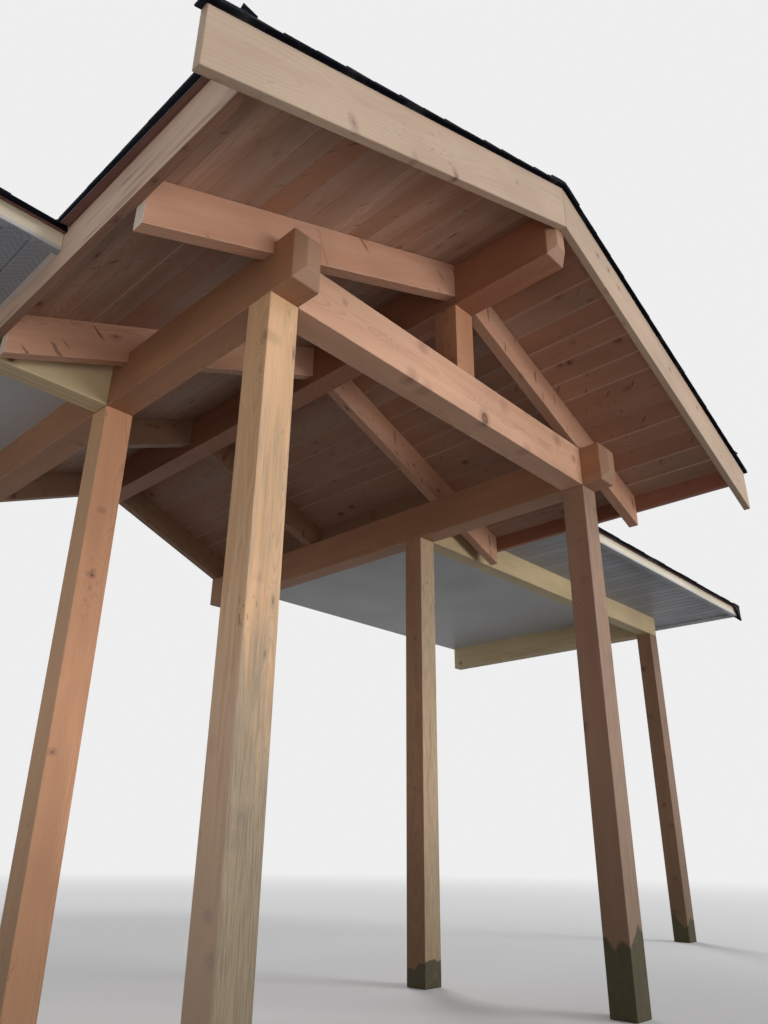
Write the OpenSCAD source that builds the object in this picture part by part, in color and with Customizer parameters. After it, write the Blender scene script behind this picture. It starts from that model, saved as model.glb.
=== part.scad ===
// Porch canopy: a gabled portico on timber posts, with a low hipped wing on each side.
// All of it leans on the wall of the building behind it.
// X runs to the right, Y towards the wall and Z up. The origin is on the wall, at the
// middle of the ridge beam's back end. Left and right are as seen from in front.

/* [Portico] */
// Width of the portico over the outer faces of its eave beams
portico_w = 2480; // [1800:10:3600]
// Depth from the wall to the front faces of the front posts
portico_d = 3710; // [3200:10:4600]
// Height from the foot of the posts to the underside of the beams
eave_h = 2680; // [2200:10:3200]
// Slope of the portico roof, in degrees
portico_angle = 22.62; // [18:0.01:30]

/* [Posts and beams] */
// Side of each square post
post_w = 140; // [110:5:180]
// Width of the eave beams and the ridge beam, and thickness of the tie beam
beam_w = 140; // [100:5:180]
// Depth of the tie beam and the eave beams
beam_h = 240; // [180:5:300]
// Depth of the ridge beam at its side faces
ridge_h = 255; // [180:5:320]
// Side of the king post
king_w = 140; // [90:5:180]
// How far the eave beams run out in front of the front posts
beam_out = 160; // [80:5:300]
// Length of the bevelled nose on the beams
nose_len = 40; // [20:5:60]
// Set-back of the nose at the sides of a beam
nose_side = 38; // [10:1:45]
// Set-back of the nose at the top and underside of a beam
nose_edge = 50; // [10:1:60]

/* [Rafters] */
// Thickness of a portico rafter
rafter_t = 64; // [38:1:90]
// Depth of a portico rafter, square to the slope
rafter_h = 190; // [140:5:240]
// Distance from the back of the middle rafters to the face of the wing beams
middle_rafter_gap = 86; // [20:1:300]
// Distance from the wall to the front of the rear rafters
rear_rafter_at = 1310; // [900:10:1700]
// Thickness of the blocks that close the gap over the eave beams
block_t = 38; // [19:1:60]

/* [Portico roof] */
// How far the roof runs out in front of the front posts, to the face of the barge boards
gable_out = 627; // [300:1:900]
// How far the eaves run out from the eave beams, to the back of the fascia
eave_out = 550; // [420:5:700]
// Thickness of the decking boards
deck_t = 38; // [19:1:50]
// Thickness of the roof panel over the decking
panel_t = 85; // [40:1:120]
// Thickness of the shingle layer
shingle_t = 12; // [8:1:20]
// Overhang of the shingles past the eave fascia
shingle_eave = 42; // [10:1:60]
// Overhang of the shingles past the barge boards, at the front and at their tails
shingle_rake = 20; // [5:1:40]
// Half width of the ridge cap along the slope
cap_w = 150; // [100:5:200]
// Height of the decking's edge above the wing ceiling, where it runs behind the wing
roof_rear_gap = 40; // [10:1:80]
// Depth of a barge board, square to the slope
barge_h = 235; // [180:5:285]
// Thickness of a barge board
barge_t = 38; // [19:1:50]
// How far the barge boards run out past the eave fascia
barge_tail = 167; // [100:1:250]
// Depth of the portico's eave fascia at its outer face
eave_fascia_h = 220; // [200:5:285]
// Thickness of the portico's eave fascia
eave_fascia_t = 38; // [19:1:50]

/* [Wings] */
// Length of each wing, from the portico's eave beam to its far end
wing_len = 3460; // [2400:10:4200]
// Depth of each wing, from the wall to the front face of its beam
wing_d = 2460; // [1900:10:2560]
// Slope of the wing roof, in degrees
wing_angle = 14.04; // [11:0.01:14.1]
// Thickness of the wing beams
wing_beam_t = 114; // [76:1:130]
// Overhang of the wing's front eave, to the face of the fascia
wing_front_out = 670; // [500:5:760]
// Overhang of the wing's end eave, to the face of the fascia
wing_end_out = 400; // [250:5:600]
// Depth of the wing fascia at its outer face
wing_fascia_h = 80; // [70:1:110]
// Thickness of the wing fascia
wing_fascia_t = 38; // [19:1:50]
// Height of the beams' top above the underside of the soffit
soffit_drop = 60; // [45:1:70]
// Thickness of the soffit
soffit_t = 12; // [8:1:20]
// How far the wing fascia reaches below the soffit
fascia_lip = 18; // [5:1:30]
// Thickness of the wing ceiling
ceiling_t = 15; // [9:1:25]
// Thickness of the wing's roof deck and shingles, measured plumb
wing_roof_t = 30; // [25:1:50]
// Overhang of the wing roof past its fascia
wing_drip = 30; // [10:1:40]
// Depth of a wing rafter, square to the slope
wing_rafter_h = 184; // [140:1:235]
// Thickness of a wing rafter
wing_rafter_t = 38; // [25:1:50]
// Distance between wing rafters
wing_rafter_gap = 610; // [400:5:700]

/* [Hidden] */

LEFT = -1;
RIGHT = 1;

// Heights here are above the foot of the posts, and y is 0 at the wall, less in front of it.
portico_slope = tan(portico_angle);
wing_slope = tan(wing_angle);
front_y = -portico_d;
half_w = portico_w / 2;
beam_in = half_w - beam_w;
beam_top = eave_h + beam_h;

// Height on the centre line of each layer of the portico roof, at its underside
rafter_z = beam_top + portico_slope * beam_in;
deck_z = rafter_z + plumb(rafter_h, portico_slope);
panel_z = deck_z + plumb(deck_t, portico_slope);
shingle_z = panel_z + plumb(panel_t, portico_slope);
cap_z = shingle_z + plumb(shingle_t, portico_slope);

ridge_shoulder_z = deck_z - portico_slope * beam_w / 2;
ridge_z = ridge_shoulder_z - ridge_h;
mount_z = ridge_z + ridge_h / 2;

barge_y = front_y - gable_out;
barge_back_y = barge_y + barge_t;
fascia_in_x = half_w + eave_out;
fascia_out_x = fascia_in_x + eave_fascia_t;
shingle_x = fascia_out_x + shingle_eave;
barge_x = fascia_out_x + barge_tail;
rake_y = barge_y - shingle_rake;
rake_x = barge_x + shingle_rake;
roof_rear_x = (deck_z - beam_top - roof_rear_gap) / portico_slope;
eave_fascia_z = roof_height(fascia_out_x, shingle_z) - eave_fascia_h;

wing_y = -wing_d;
wing_x = half_w + wing_len;
wing_beam_in_x = wing_x - wing_beam_t;
wing_face_y = wing_y - wing_front_out;
wing_face_x = wing_x + wing_end_out;
soffit_z = beam_top - soffit_drop;
wing_fascia_z = soffit_z - fascia_lip;
wing_eave_z = wing_fascia_z + wing_fascia_h;
wing_roof_in = beam_w / 2;
first_jack_x = wing_roof_in + wing_rafter_gap;
last_jack_x = wing_beam_in_x - wing_rafter_t;

// More than the canopy's height, for cuts that only need to be tall enough
tall = 2 * (cap_z + post_w);

// Plumb height of a layer that is t thick square to its slope
function plumb(t, slope) = t * sqrt(1 + slope * slope);
// Height of the portico roof at x for a layer that is at z on the centre line
function roof_height(x, z) = z - portico_slope * x;
// Height of the wing roof's underside, d in from the face of a fascia
function wing_height(d) = wing_eave_z + wing_slope * d;

// Moves the model from the foot of the posts to its origin on the wall
module on_wall() {
    translate([0, 0, -mount_z]) children();
}

// Draws the right-hand piece as it is, and the left-hand one as its mirror image
module on_side(side) {
    on_wall() mirror([side == LEFT ? 1 : 0, 0, 0]) children();
}

// Extrudes a profile of x and z along Y
module run_y(y0, y1) {
    translate([0, y1, 0]) rotate([90, 0, 0]) linear_extrude(y1 - y0) children();
}

// Extrudes a profile of y and z along X
module run_x(x0, x1) {
    translate([x0, 0, 0]) rotate([90, 0, 90]) linear_extrude(x1 - x0) children();
}

// Block from one corner to the other
module block(low, high) {
    translate(low) cube(high - low);
}

// Part of one portico slope: a layer t thick, from x0 to x1 and y0 to y1
module slope_layer(x0, x1, y0, y1, z, t) {
    rise = plumb(t, portico_slope);
    run_y(y0, y1) polygon([
        [x0, roof_height(x0, z)],
        [x1, roof_height(x1, z)],
        [x1, roof_height(x1, z) + rise],
        [x0, roof_height(x0, z) + rise],
    ]);
}

// A square post from its foot up to the beams, with x and y of its low corner
module post(x, y) {
    block([x, y, 0], [x + post_w, y + post_w, eave_h]);
}

module front_post(side) {
    color("#c99a72") on_side(side) post(half_w - post_w, front_y);
}

module middle_post(side) {
    color("#c2906a") on_side(side) post(half_w - post_w, wing_y);
}

module wing_post(side) {
    color("#c99a72") on_side(side) post(wing_x - post_w, wing_y);
}

// Plan of a beam along Y from its bevelled nose at y0 to the wall
module nose_plan(x0, x1, y0, y1) {
    polygon([
        [x0, y1], [x0, y0 + nose_len], [x0 + nose_side, y0],
        [x1 - nose_side, y0], [x1, y0 + nose_len], [x1, y1],
    ]);
}

module eave_beam(side) {
    nose_y = front_y - beam_out;
    color("#bd8a63") on_side(side) intersection() {
        linear_extrude(tall) nose_plan(beam_in, half_w, nose_y, 0);
        run_x(beam_in, half_w) polygon([
            [0, eave_h], [0, beam_top], [nose_y + nose_len, beam_top],
            [nose_y, beam_top - nose_edge], [nose_y, eave_h + nose_edge],
            [nose_y + nose_len, eave_h],
        ]);
    }
}

module tie_beam() {
    color("#c08d66") on_wall()
        block([-beam_in, front_y, eave_h], [beam_in, front_y + beam_w, beam_top]);
}

module king_post() {
    color("#c99a72") on_wall()
        block([-king_w / 2, front_y, beam_top], [king_w / 2, front_y + king_w, ridge_z]);
}

// The ridge beam, with a peaked top that carries the decking of both slopes
module ridge_beam() {
    half = beam_w / 2;
    color("#bd8a63") on_wall() intersection() {
        run_y(barge_back_y, 0) polygon([
            [-half, ridge_z], [half, ridge_z], [half, ridge_shoulder_z],
            [0, deck_z], [-half, ridge_shoulder_z],
        ]);
        linear_extrude(tall) nose_plan(-half, half, barge_back_y, 0);
        run_x(-half, half) polygon([
            [0, ridge_z], [0, tall], [barge_back_y, tall], [barge_back_y, ridge_z + nose_edge],
            [barge_back_y + nose_len, ridge_z],
        ]);
    }
}

// A rafter from the ridge beam over the eave beam, notched to sit on the eave beam's top.
// It ends at end_x, flush with the beam's outer face or at the back of the eave fascia.
module rafter(y, end_x) {
    ridge_x = beam_w / 2;
    tail = end_x > half_w ? [for (x = [half_w, end_x]) [x, roof_height(x, rafter_z)]] : [];
    run_y(y, y + rafter_t) polygon(concat(
        [[ridge_x, roof_height(ridge_x, rafter_z)], [beam_in, beam_top], [half_w, beam_top]],
        tail,
        [[end_x, roof_height(end_x, deck_z)], [ridge_x, roof_height(ridge_x, deck_z)]]
    ));
}

module front_rafter(side) {
    color("#b98660") on_side(side) rafter(front_y, fascia_in_x);
}

module middle_rafter(side) {
    color("#b98660") on_side(side) rafter(wing_y - middle_rafter_gap - rafter_t, fascia_in_x);
}

module rear_rafter(side) {
    color("#b98660") on_side(side) rafter(-rear_rafter_at, half_w);
}

module wall_rafter(side) {
    color("#b98660") on_side(side) rafter(-rafter_t, half_w);
}

// Blocks on the eave beam between the rafters, where the wing's attic lies behind it
module eave_blocks(side) {
    x0 = half_w - block_t;
    rear_y = -rear_rafter_at;
    color("#a87a58") on_side(side) for (bay = [[wing_y, rear_y], [rear_y + rafter_t, -rafter_t]])
        run_y(bay[0], bay[1]) polygon([
            [x0, beam_top], [half_w, beam_top],
            [half_w, roof_height(half_w, deck_z)], [x0, roof_height(x0, deck_z)],
        ]);
}

// One layer of a portico slope: full width in front of the wing, narrower behind its beam
module roof_layer(z, t) {
    slope_layer(0, fascia_in_x, barge_back_y, wing_y, z, t);
    slope_layer(0, roof_rear_x, wing_y, 0, z, t);
}

module decking(side) {
    color("#8a6246") on_side(side) roof_layer(deck_z, deck_t);
}

module roof_panel(side) {
    color("#b59a6a") on_side(side) roof_layer(panel_z, panel_t);
}

module shingles(side) {
    color("#2c2c2e") on_side(side) {
        slope_layer(0, rake_x, rake_y, barge_back_y, shingle_z, shingle_t);
        slope_layer(0, shingle_x, barge_back_y, wing_y, shingle_z, shingle_t);
        slope_layer(0, roof_rear_x, wing_y, 0, shingle_z, shingle_t);
    }
}

module ridge_cap() {
    rise = plumb(shingle_t, portico_slope);
    edge_x = cap_w / plumb(1, portico_slope);
    edge_z = roof_height(edge_x, cap_z);
    color("#333336") on_wall() run_y(rake_y, 0) polygon([
        [-edge_x, edge_z], [0, cap_z], [edge_x, edge_z],
        [edge_x, edge_z + rise], [0, cap_z + rise], [-edge_x, edge_z + rise],
    ]);
}

module barge_board(side) {
    rise = plumb(barge_h, portico_slope);
    color("#dcc7a2") on_side(side)
        slope_layer(0, barge_x, barge_y, barge_back_y, shingle_z - rise, barge_h);
}

module eave_fascia(side) {
    color("#dcc7a2") on_side(side) run_y(barge_back_y, wing_y) polygon([
        [fascia_in_x, eave_fascia_z],
        [fascia_out_x, eave_fascia_z],
        [fascia_out_x, roof_height(fascia_out_x, shingle_z)],
        [fascia_in_x, roof_height(fascia_in_x, shingle_z)],
    ]);
}

module wing_front_beam(side) {
    color("#d9c48f") on_side(side)
        block([half_w, wing_y, eave_h], [wing_x, wing_y + wing_beam_t, beam_top]);
}

module wing_end_beam(side) {
    color("#d9c48f") on_side(side)
        block([wing_beam_in_x, wing_y + wing_beam_t, eave_h], [wing_x, 0, beam_top]);
}

module wing_ceiling(side) {
    color("#b9b6b0") on_side(side)
        block([half_w, wing_y + wing_beam_t, beam_top - ceiling_t], [wing_beam_in_x, 0, beam_top]);
}

// The soffit under the wing's front eave and round its end
module wing_soffit(side) {
    edge_x = wing_face_x - wing_fascia_t;
    edge_y = wing_face_y + wing_fascia_t;
    color("#c9c9c6") on_side(side) {
        block([fascia_out_x, edge_y, soffit_z], [edge_x, wing_y, soffit_z + soffit_t]);
        block([wing_x, wing_y, soffit_z], [edge_x, 0, soffit_z + soffit_t]);
    }
}

// Everything under a wing roof surface that is lift above the roof's underside
module under_wing_roof(lift) {
    low_y = wing_face_y - wing_drip;
    high_x = wing_face_x + wing_drip;
    low_z = wing_height(-wing_drip) + lift;
    intersection() {
        run_x(wing_roof_in, high_x) polygon([
            [low_y, 0], [0, 0],
            [0, wing_height(-wing_face_y) + lift], [low_y, low_z],
        ]);
        run_y(low_y, 0) polygon([
            [wing_roof_in, 0], [high_x, 0],
            [high_x, low_z], [wing_roof_in, wing_height(wing_face_x - wing_roof_in) + lift],
        ]);
    }
}

// The space that the portico roof takes, up to the top of its shingles and ridge cap
module portico_roof_space() {
    edge_x = cap_w / plumb(1, portico_slope);
    rise = plumb(shingle_t, portico_slope);
    run_y(rake_y, tall) {
        polygon([[0, 0], [shingle_x, 0], [shingle_x, roof_height(shingle_x, cap_z)], [0, cap_z]]);
        polygon([[0, 0], [edge_x, 0], [edge_x, roof_height(edge_x, cap_z + rise)], [0, cap_z + rise]]);
    }
}

module wing_front_fascia(side) {
    back_y = wing_face_y + wing_fascia_t;
    color("#dcc893") on_side(side)
        block([fascia_out_x, wing_face_y, wing_fascia_z], [wing_face_x, back_y, wing_eave_z]);
}

module wing_end_fascia(side) {
    x = wing_face_x - wing_fascia_t;
    y = wing_face_y + wing_fascia_t;
    color("#dcc893") on_side(side)
        block([x, y, wing_fascia_z], [wing_face_x, 0, wing_eave_z]);
}

// Plan of the wing framing: front jacks, end jacks, the hip and the ledger on the wall.
// The jacks end on the middle of the hip, which has a square nose behind the fascia.
module wing_framing_plan() {
    in_x = wing_face_x - wing_fascia_t;
    in_y = wing_face_y + wing_fascia_t;
    t = wing_rafter_t;
    for (x = [first_jack_x:wing_rafter_gap:last_jack_x]) {
        hip_y = wing_face_y + wing_face_x - x - t / 2;
        translate([x, in_y]) square([t, min(-t, hip_y) - in_y]);
    }
    for (y = [-wing_rafter_gap:-wing_rafter_gap:wing_y]) {
        hip_x = wing_face_x + wing_face_y - y - t / 2;
        translate([hip_x, y]) square([in_x - hip_x, t]);
    }
    intersection() {
        translate([in_x, in_y]) rotate(135)
            translate([t, -t / 2]) square([2 * (wing_d + wing_front_out), t]);
        translate([0, in_y]) square([in_x, -t / 2 - in_y]);
    }
    translate([first_jack_x, -t]) square([in_x - first_jack_x, t]);
}

// The wing rafters, seated on the beams and cut level over the soffit
module wing_framing(side) {
    rise = plumb(wing_rafter_h, wing_slope);
    color("#c8ab7c") on_side(side) difference() {
        intersection() {
            linear_extrude(tall) wing_framing_plan();
            under_wing_roof(0);
        }
        under_wing_roof(-rise);
        block([0, wing_y, 0], [wing_x, post_w, beam_top]);
        block([0, wing_face_y, 0], [wing_face_x, wing_y, soffit_z + soffit_t]);
        block([wing_x, wing_y, 0], [wing_face_x, post_w, soffit_z + soffit_t]);
        portico_roof_space();
    }
}

module wing_roof(side) {
    color("#2c2c2e") on_side(side) difference() {
        under_wing_roof(wing_roof_t);
        under_wing_roof(0);
        portico_roof_space();
    }
}

front_post(LEFT);  // front_post_left
front_post(RIGHT);  // front_post_right
middle_post(LEFT);  // middle_post_left
middle_post(RIGHT);  // middle_post_right
wing_post(LEFT);  // wing_post_left
wing_post(RIGHT);  // wing_post_right
eave_beam(LEFT);  // eave_beam_left
eave_beam(RIGHT);  // eave_beam_right
tie_beam();
king_post();
ridge_beam();
front_rafter(LEFT);  // front_rafter_left
front_rafter(RIGHT);  // front_rafter_right
middle_rafter(LEFT);  // middle_rafter_left
middle_rafter(RIGHT);  // middle_rafter_right
rear_rafter(LEFT);  // rear_rafter_left
rear_rafter(RIGHT);  // rear_rafter_right
wall_rafter(LEFT);  // wall_rafter_left
wall_rafter(RIGHT);  // wall_rafter_right
eave_blocks(LEFT);  // eave_blocks_left
eave_blocks(RIGHT);  // eave_blocks_right
decking(LEFT);  // decking_left
decking(RIGHT);  // decking_right
roof_panel(LEFT);  // roof_panel_left
roof_panel(RIGHT);  // roof_panel_right
shingles(LEFT);  // shingles_left
shingles(RIGHT);  // shingles_right
ridge_cap();
barge_board(LEFT);  // barge_board_left
barge_board(RIGHT);  // barge_board_right
eave_fascia(LEFT);  // eave_fascia_left
eave_fascia(RIGHT);  // eave_fascia_right
wing_front_beam(LEFT);  // wing_front_beam_left
wing_front_beam(RIGHT);  // wing_front_beam_right
wing_end_beam(LEFT);  // wing_end_beam_left
wing_end_beam(RIGHT);  // wing_end_beam_right
wing_ceiling(LEFT);  // wing_ceiling_left
wing_ceiling(RIGHT);  // wing_ceiling_right
wing_soffit(LEFT);  // wing_soffit_left
wing_soffit(RIGHT);  // wing_soffit_right
wing_front_fascia(LEFT);  // wing_front_fascia_left
wing_front_fascia(RIGHT);  // wing_front_fascia_right
wing_end_fascia(LEFT);  // wing_end_fascia_left
wing_end_fascia(RIGHT);  // wing_end_fascia_right
wing_framing(LEFT);  // wing_framing_left
wing_framing(RIGHT);  // wing_framing_right
wing_roof(LEFT);  // wing_roof_left
wing_roof(RIGHT);  // wing_roof_right
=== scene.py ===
"""Porch canopy: its boards, shingles, sheet metal and finishes, built on its packed solids."""
import random
from math import atan, cos, pi, radians, sin

import bmesh
import bpy
from bpy.props import FloatProperty, FloatVectorProperty, PointerProperty
from mathutils import Matrix, Vector


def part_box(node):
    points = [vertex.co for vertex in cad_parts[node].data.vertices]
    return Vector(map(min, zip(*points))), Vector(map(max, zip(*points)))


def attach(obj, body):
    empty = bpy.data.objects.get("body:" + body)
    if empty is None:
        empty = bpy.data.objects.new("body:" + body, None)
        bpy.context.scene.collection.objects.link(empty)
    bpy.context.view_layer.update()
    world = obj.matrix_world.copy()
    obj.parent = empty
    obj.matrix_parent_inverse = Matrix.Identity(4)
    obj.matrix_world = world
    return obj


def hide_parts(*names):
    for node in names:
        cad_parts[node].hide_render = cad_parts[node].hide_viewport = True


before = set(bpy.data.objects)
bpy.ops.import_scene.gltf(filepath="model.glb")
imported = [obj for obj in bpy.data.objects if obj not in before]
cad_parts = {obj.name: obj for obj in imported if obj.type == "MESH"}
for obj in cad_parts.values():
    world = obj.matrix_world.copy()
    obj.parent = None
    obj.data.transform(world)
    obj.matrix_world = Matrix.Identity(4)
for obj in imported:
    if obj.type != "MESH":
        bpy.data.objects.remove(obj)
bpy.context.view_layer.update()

bl_info = {
    "name": "Porch canopy",
    "version": (1, 0, 0),
    "blender": (4, 5, 0),
    "location": "3D View > Sidebar > Canopy",
    "description": "Boards, shingles, sheet metal and finishes of a timber porch canopy",
    "category": "Object",
}

# Sizes taken from the frame, in metres. The right-hand pieces are measured, and the left mirrors them.
SIDES = {"left": -1, "right": 1}
FOOT_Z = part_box("front_post_right")[0].z
PEAK_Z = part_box("ridge_beam")[1].z
PORTICO_SLOPE = (PEAK_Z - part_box("front_rafter_right")[1].z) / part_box("front_rafter_right")[0].x
PORTICO_TILT = atan(PORTICO_SLOPE)
SHINGLE_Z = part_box("roof_panel_right")[1].z
BARGE_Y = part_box("barge_board_right")[0].y
BARGE_BACK_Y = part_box("barge_board_right")[1].y
BARGE_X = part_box("barge_board_right")[1].x
RAKE_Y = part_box("shingles_right")[0].y
RAKE_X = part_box("shingles_right")[1].x
FASCIA_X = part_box("eave_fascia_right")[1].x
WING_FACE_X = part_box("wing_end_fascia_right")[1].x
WING_FACE_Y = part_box("wing_front_fascia_right")[0].y
WING_EAVE_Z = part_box("wing_front_fascia_right")[1].z
WING_FASCIA_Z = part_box("wing_front_fascia_right")[0].z
WING_EDGE_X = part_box("wing_roof_right")[1].x
WING_EDGE_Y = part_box("wing_roof_right")[0].y
WING_SLOPE = (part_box("wing_framing_right")[1].z - WING_EAVE_Z) / -WING_FACE_Y
WING_TILT = atan(WING_SLOPE)
BEAM_FACE_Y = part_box("wing_front_beam_right")[0].y
BEAM_END_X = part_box("wing_front_beam_right")[1].x
SOFFIT_LOW, SOFFIT_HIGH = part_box("wing_soffit_right")

# Plumb thickness of the wing roof, and how deep the rafters and barge boards are, square to the slope
WING_ROOF_T = 0.030
RAFTER_H = 0.190
BARGE_H = 0.235
# Overhang of the shingles past the portico's eave fascia
SHINGLE_EAVE = 0.042
# Felt under the shingles, the top of a shingle's head over the roof, and the gap between two tabs
FELT_T = 0.0006
HEAD_TOP = 0.0032
TAB_GAP = 0.0012
# Narrowest tab that is laid, and the share of the tabs that have a second layer
TAB_LEAST = 0.02
DOUBLE_SHARE = 0.55
# Underside and top of a cap over the ridge or hip line, at its lower end and at its head
CAP_FOOT = (0.0022, 0.0085)
CAP_HEAD = (0.0002, 0.002)
# How far sheet metal stays clear of the timber that it covers, and the gap under the soffit for its trim
CLEAR = 0.0012
TRIM_GAP = 0.0003
# How far the wings' roof boards end short of the edge of the shingles
BOARD_BACK = 0.007
# How far up the hip its regular caps start
HIP_START = 0.16
# The wall plane, with its direction out of the canopy
WALL = (Vector((0, 0, 0)), Vector((0, 1, 0)))
# Half the width of the floor, and where it starts and ends to fade into the backdrop
FLOOR_REACH = 90.0
FLOOR_FADE = (6.0, 22.0)


def length(name, description, default):
    """A length that the sidebar shows in scene units."""
    return FloatProperty(name=name, description=description, default=default, min=0.0,
                         precision=4, subtype="DISTANCE", unit="LENGTH")


def share(name, description, default, highest=1.0):
    """A plain number from nothing to its highest."""
    return FloatProperty(name=name, description=description, default=default, min=0.0,
                         max=highest, subtype="FACTOR")


def colour(name, description, red, green, blue):
    """A colour with a picker in the sidebar, from display steps of 0 to 255."""
    steps = (red / 255, green / 255, blue / 255)
    linear = tuple(v / 12.92 if v <= 0.04045 else ((v + 0.055) / 1.055) ** 2.4 for v in steps)
    return FloatVectorProperty(name=name, description=description, default=linear, size=3,
                               min=0.0, max=1.0, subtype="COLOR")


class TimberSettings(bpy.types.PropertyGroup):
    """Sawn timber: posts, beams, rafters, trim and the wings' lumber."""
    arris: length("Arris", "Rounding of the long edges", 0.004)
    ring_gap: length("Ring gap", "Distance between growth rings", 0.0052)
    knot_gap: length("Knot gap", "Rough distance between knots", 0.105)
    knot_size: length("Knot size", "Radius of a large knot", 0.014)
    wear: share("Wear", "Paleness of the long edges", 0.55)
    fir: colour("Fir", "Early wood of the fir timbers", 208, 161, 133)
    fir_late: colour("Fir, late wood", "Late wood of the fir timbers", 180, 124, 94)
    tan: colour("Tan fir", "Early wood of the browner posts", 177, 132, 98)
    tan_late: colour("Tan fir, late wood", "Late wood of the browner posts", 146, 101, 73)
    honey: colour("Honey fir", "Early wood of the yellower posts", 226, 184, 142)
    honey_late: colour("Honey fir, late wood", "Late wood of the yellower posts", 194, 146, 102)
    beam: colour("Beam fir", "Early wood of the eave beams", 176, 127, 93)
    beam_late: colour("Beam fir, late wood", "Late wood of the eave beams", 150, 102, 72)
    rose: colour("Rose fir", "Early wood of the front post on the right", 165, 129, 104)
    rose_late: colour("Rose fir, late wood", "Late wood of that post", 138, 95, 73)
    umber: colour("Umber fir", "Early wood of the darkest posts and rafters", 148, 112, 84)
    umber_late: colour("Umber fir, late wood", "Late wood of the darkest posts and rafters", 122, 84, 60)
    ridge: colour("Ridge fir", "Early wood of the ridge beam", 165, 112, 83)
    ridge_late: colour("Ridge fir, late wood", "Late wood of the ridge beam", 138, 86, 62)
    king: colour("King post", "Early wood of the king post", 194, 140, 104)
    tie: colour("Tie beam", "Early wood of the tie beam", 222, 177, 146)
    peach: colour("Peach fir", "Early wood of the middle post on the left", 226, 166, 123)
    cream: colour("Trim", "Early wood of the barge boards and fascias", 184, 161, 138)
    cream_late: colour("Trim, late wood", "Late wood of the trim", 176, 144, 120)
    # The eave fascias' inside and underside take darker, redder wood than their outer face: painted shade
    # under the eave
    inner: colour("Inner fascia", "Early wood of the portico's eave fascias, inside and below", 150, 99, 76)
    inner_late: colour("Inner fascia, late wood", "Late wood of the eave fascias, inside and below",
                       132, 74, 54)
    shaded_left_fascia: colour("Left inner fascia", "Early wood of the left eave fascia, inside and below", 146, 106, 84)
    shaded_left_fascia_late: colour("Left inner fascia, late wood", "Late wood of the left eave fascia, inside and below",
                     122, 84, 66)
    outer: colour("Outer fascia", "Bleached outer face of the portico's eave fascias", 236, 208, 184)
    board: colour("Wing fascia", "Early wood of the wings' fascias", 236, 229, 212)
    spruce: colour("Spruce", "Early wood of the wings' lumber", 222, 200, 158)
    spruce_late: colour("Spruce, late wood", "Late wood of the wings' lumber", 182, 156, 114)
    knot: colour("Knot", "Dark wood of the knots", 96, 54, 36)
    sealed: colour("Sealed end", "End grain under a pale sealer", 238, 228, 212)
    nose: colour("Beam nose", "End grain of the bevelled beam noses", 168, 132, 107)
    end: colour("End grain", "Bare end grain", 186, 146, 120)
    grey: colour("Weathered grey", "Wood bleached by the weather", 160, 149, 129)
    blush: colour("Weathered pink", "Bleached fronts of the right-hand posts", 157, 131, 111)
    # Smoke greys the front post's front and darkens it towards the foot, weathering with painted shade;
    # shell is painted light on its outer side
    smoke: colour("Weathered smoke", "Grey front of the front post on the left", 142, 137, 119)
    shell: colour("Lit shell", "Painted light on the outer side of the front post on the left", 238, 206, 180)
    wheat: colour("Weathered wheat", "Bleached front of the middle post on the right", 222, 198, 163)
    speck: colour("Specks", "Dark specks on weathered boards", 96, 84, 74)
    stain: colour("Foot stain", "Damp stain on the foot of the posts", 54, 47, 13)
    stain_h: length("Stain height", "How far the damp stain climbs", 0.17)


class DeckingSettings(bpy.types.PropertyGroup):
    """The board ceiling under the portico roof."""
    board: length("Board", "Cover width of one board", 0.130)
    first: length("First board", "Extra width of the board at the ridge", 0.010)
    thickness: length("Thickness", "Thickness of the boards", 0.038)
    chamfer: length("Chamfer", "Depth of the V between two boards", 0.0014)
    joint: length("Joint", "Gap between two boards", 0.0003)
    wide: length("Wide V", "Depth of the V where two boards have drawn apart", 0.0055)
    wide_share: share("Wide V joints", "Share of the joints that have drawn apart", 0.28)
    pale: colour("Pale board", "Early wood of the palest boards", 206, 176, 157)
    dark: colour("Dark board", "Early wood of the darkest boards", 163, 116, 90)
    dull: colour("Dull board", "Early wood of the greyest boards", 168, 148, 134)
    late: colour("Late wood", "Late wood of the boards", 154, 110, 84)
    groove: colour("V joint", "Fresh wood and painted highlight in the V between the boards", 192, 162, 142)


class ShingleSettings(bpy.types.PropertyGroup):
    """Layered shingles and the caps on the ridge and hips."""
    exposure: length("Exposure", "Height of a course that shows", 0.143)
    lap: length("Lap", "How far a course reaches under the next", 0.040)
    tab_min: length("Narrowest tab", "Width of the narrowest tab", 0.090)
    tab_max: length("Widest tab", "Width of the widest tab", 0.230)
    thin: length("Thin tab", "Height of a single layer's edge over the roof", 0.0075)
    thick: length("Thick tab", "Height of a double layer's edge over the roof", 0.0112)
    cap_w: length("Cap width", "Half width of a ridge or hip cap", 0.142)
    dark: colour("Dark granules", "Darkest granules", 20, 23, 30)
    light: colour("Light granules", "Lightest granules", 66, 72, 86)


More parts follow.
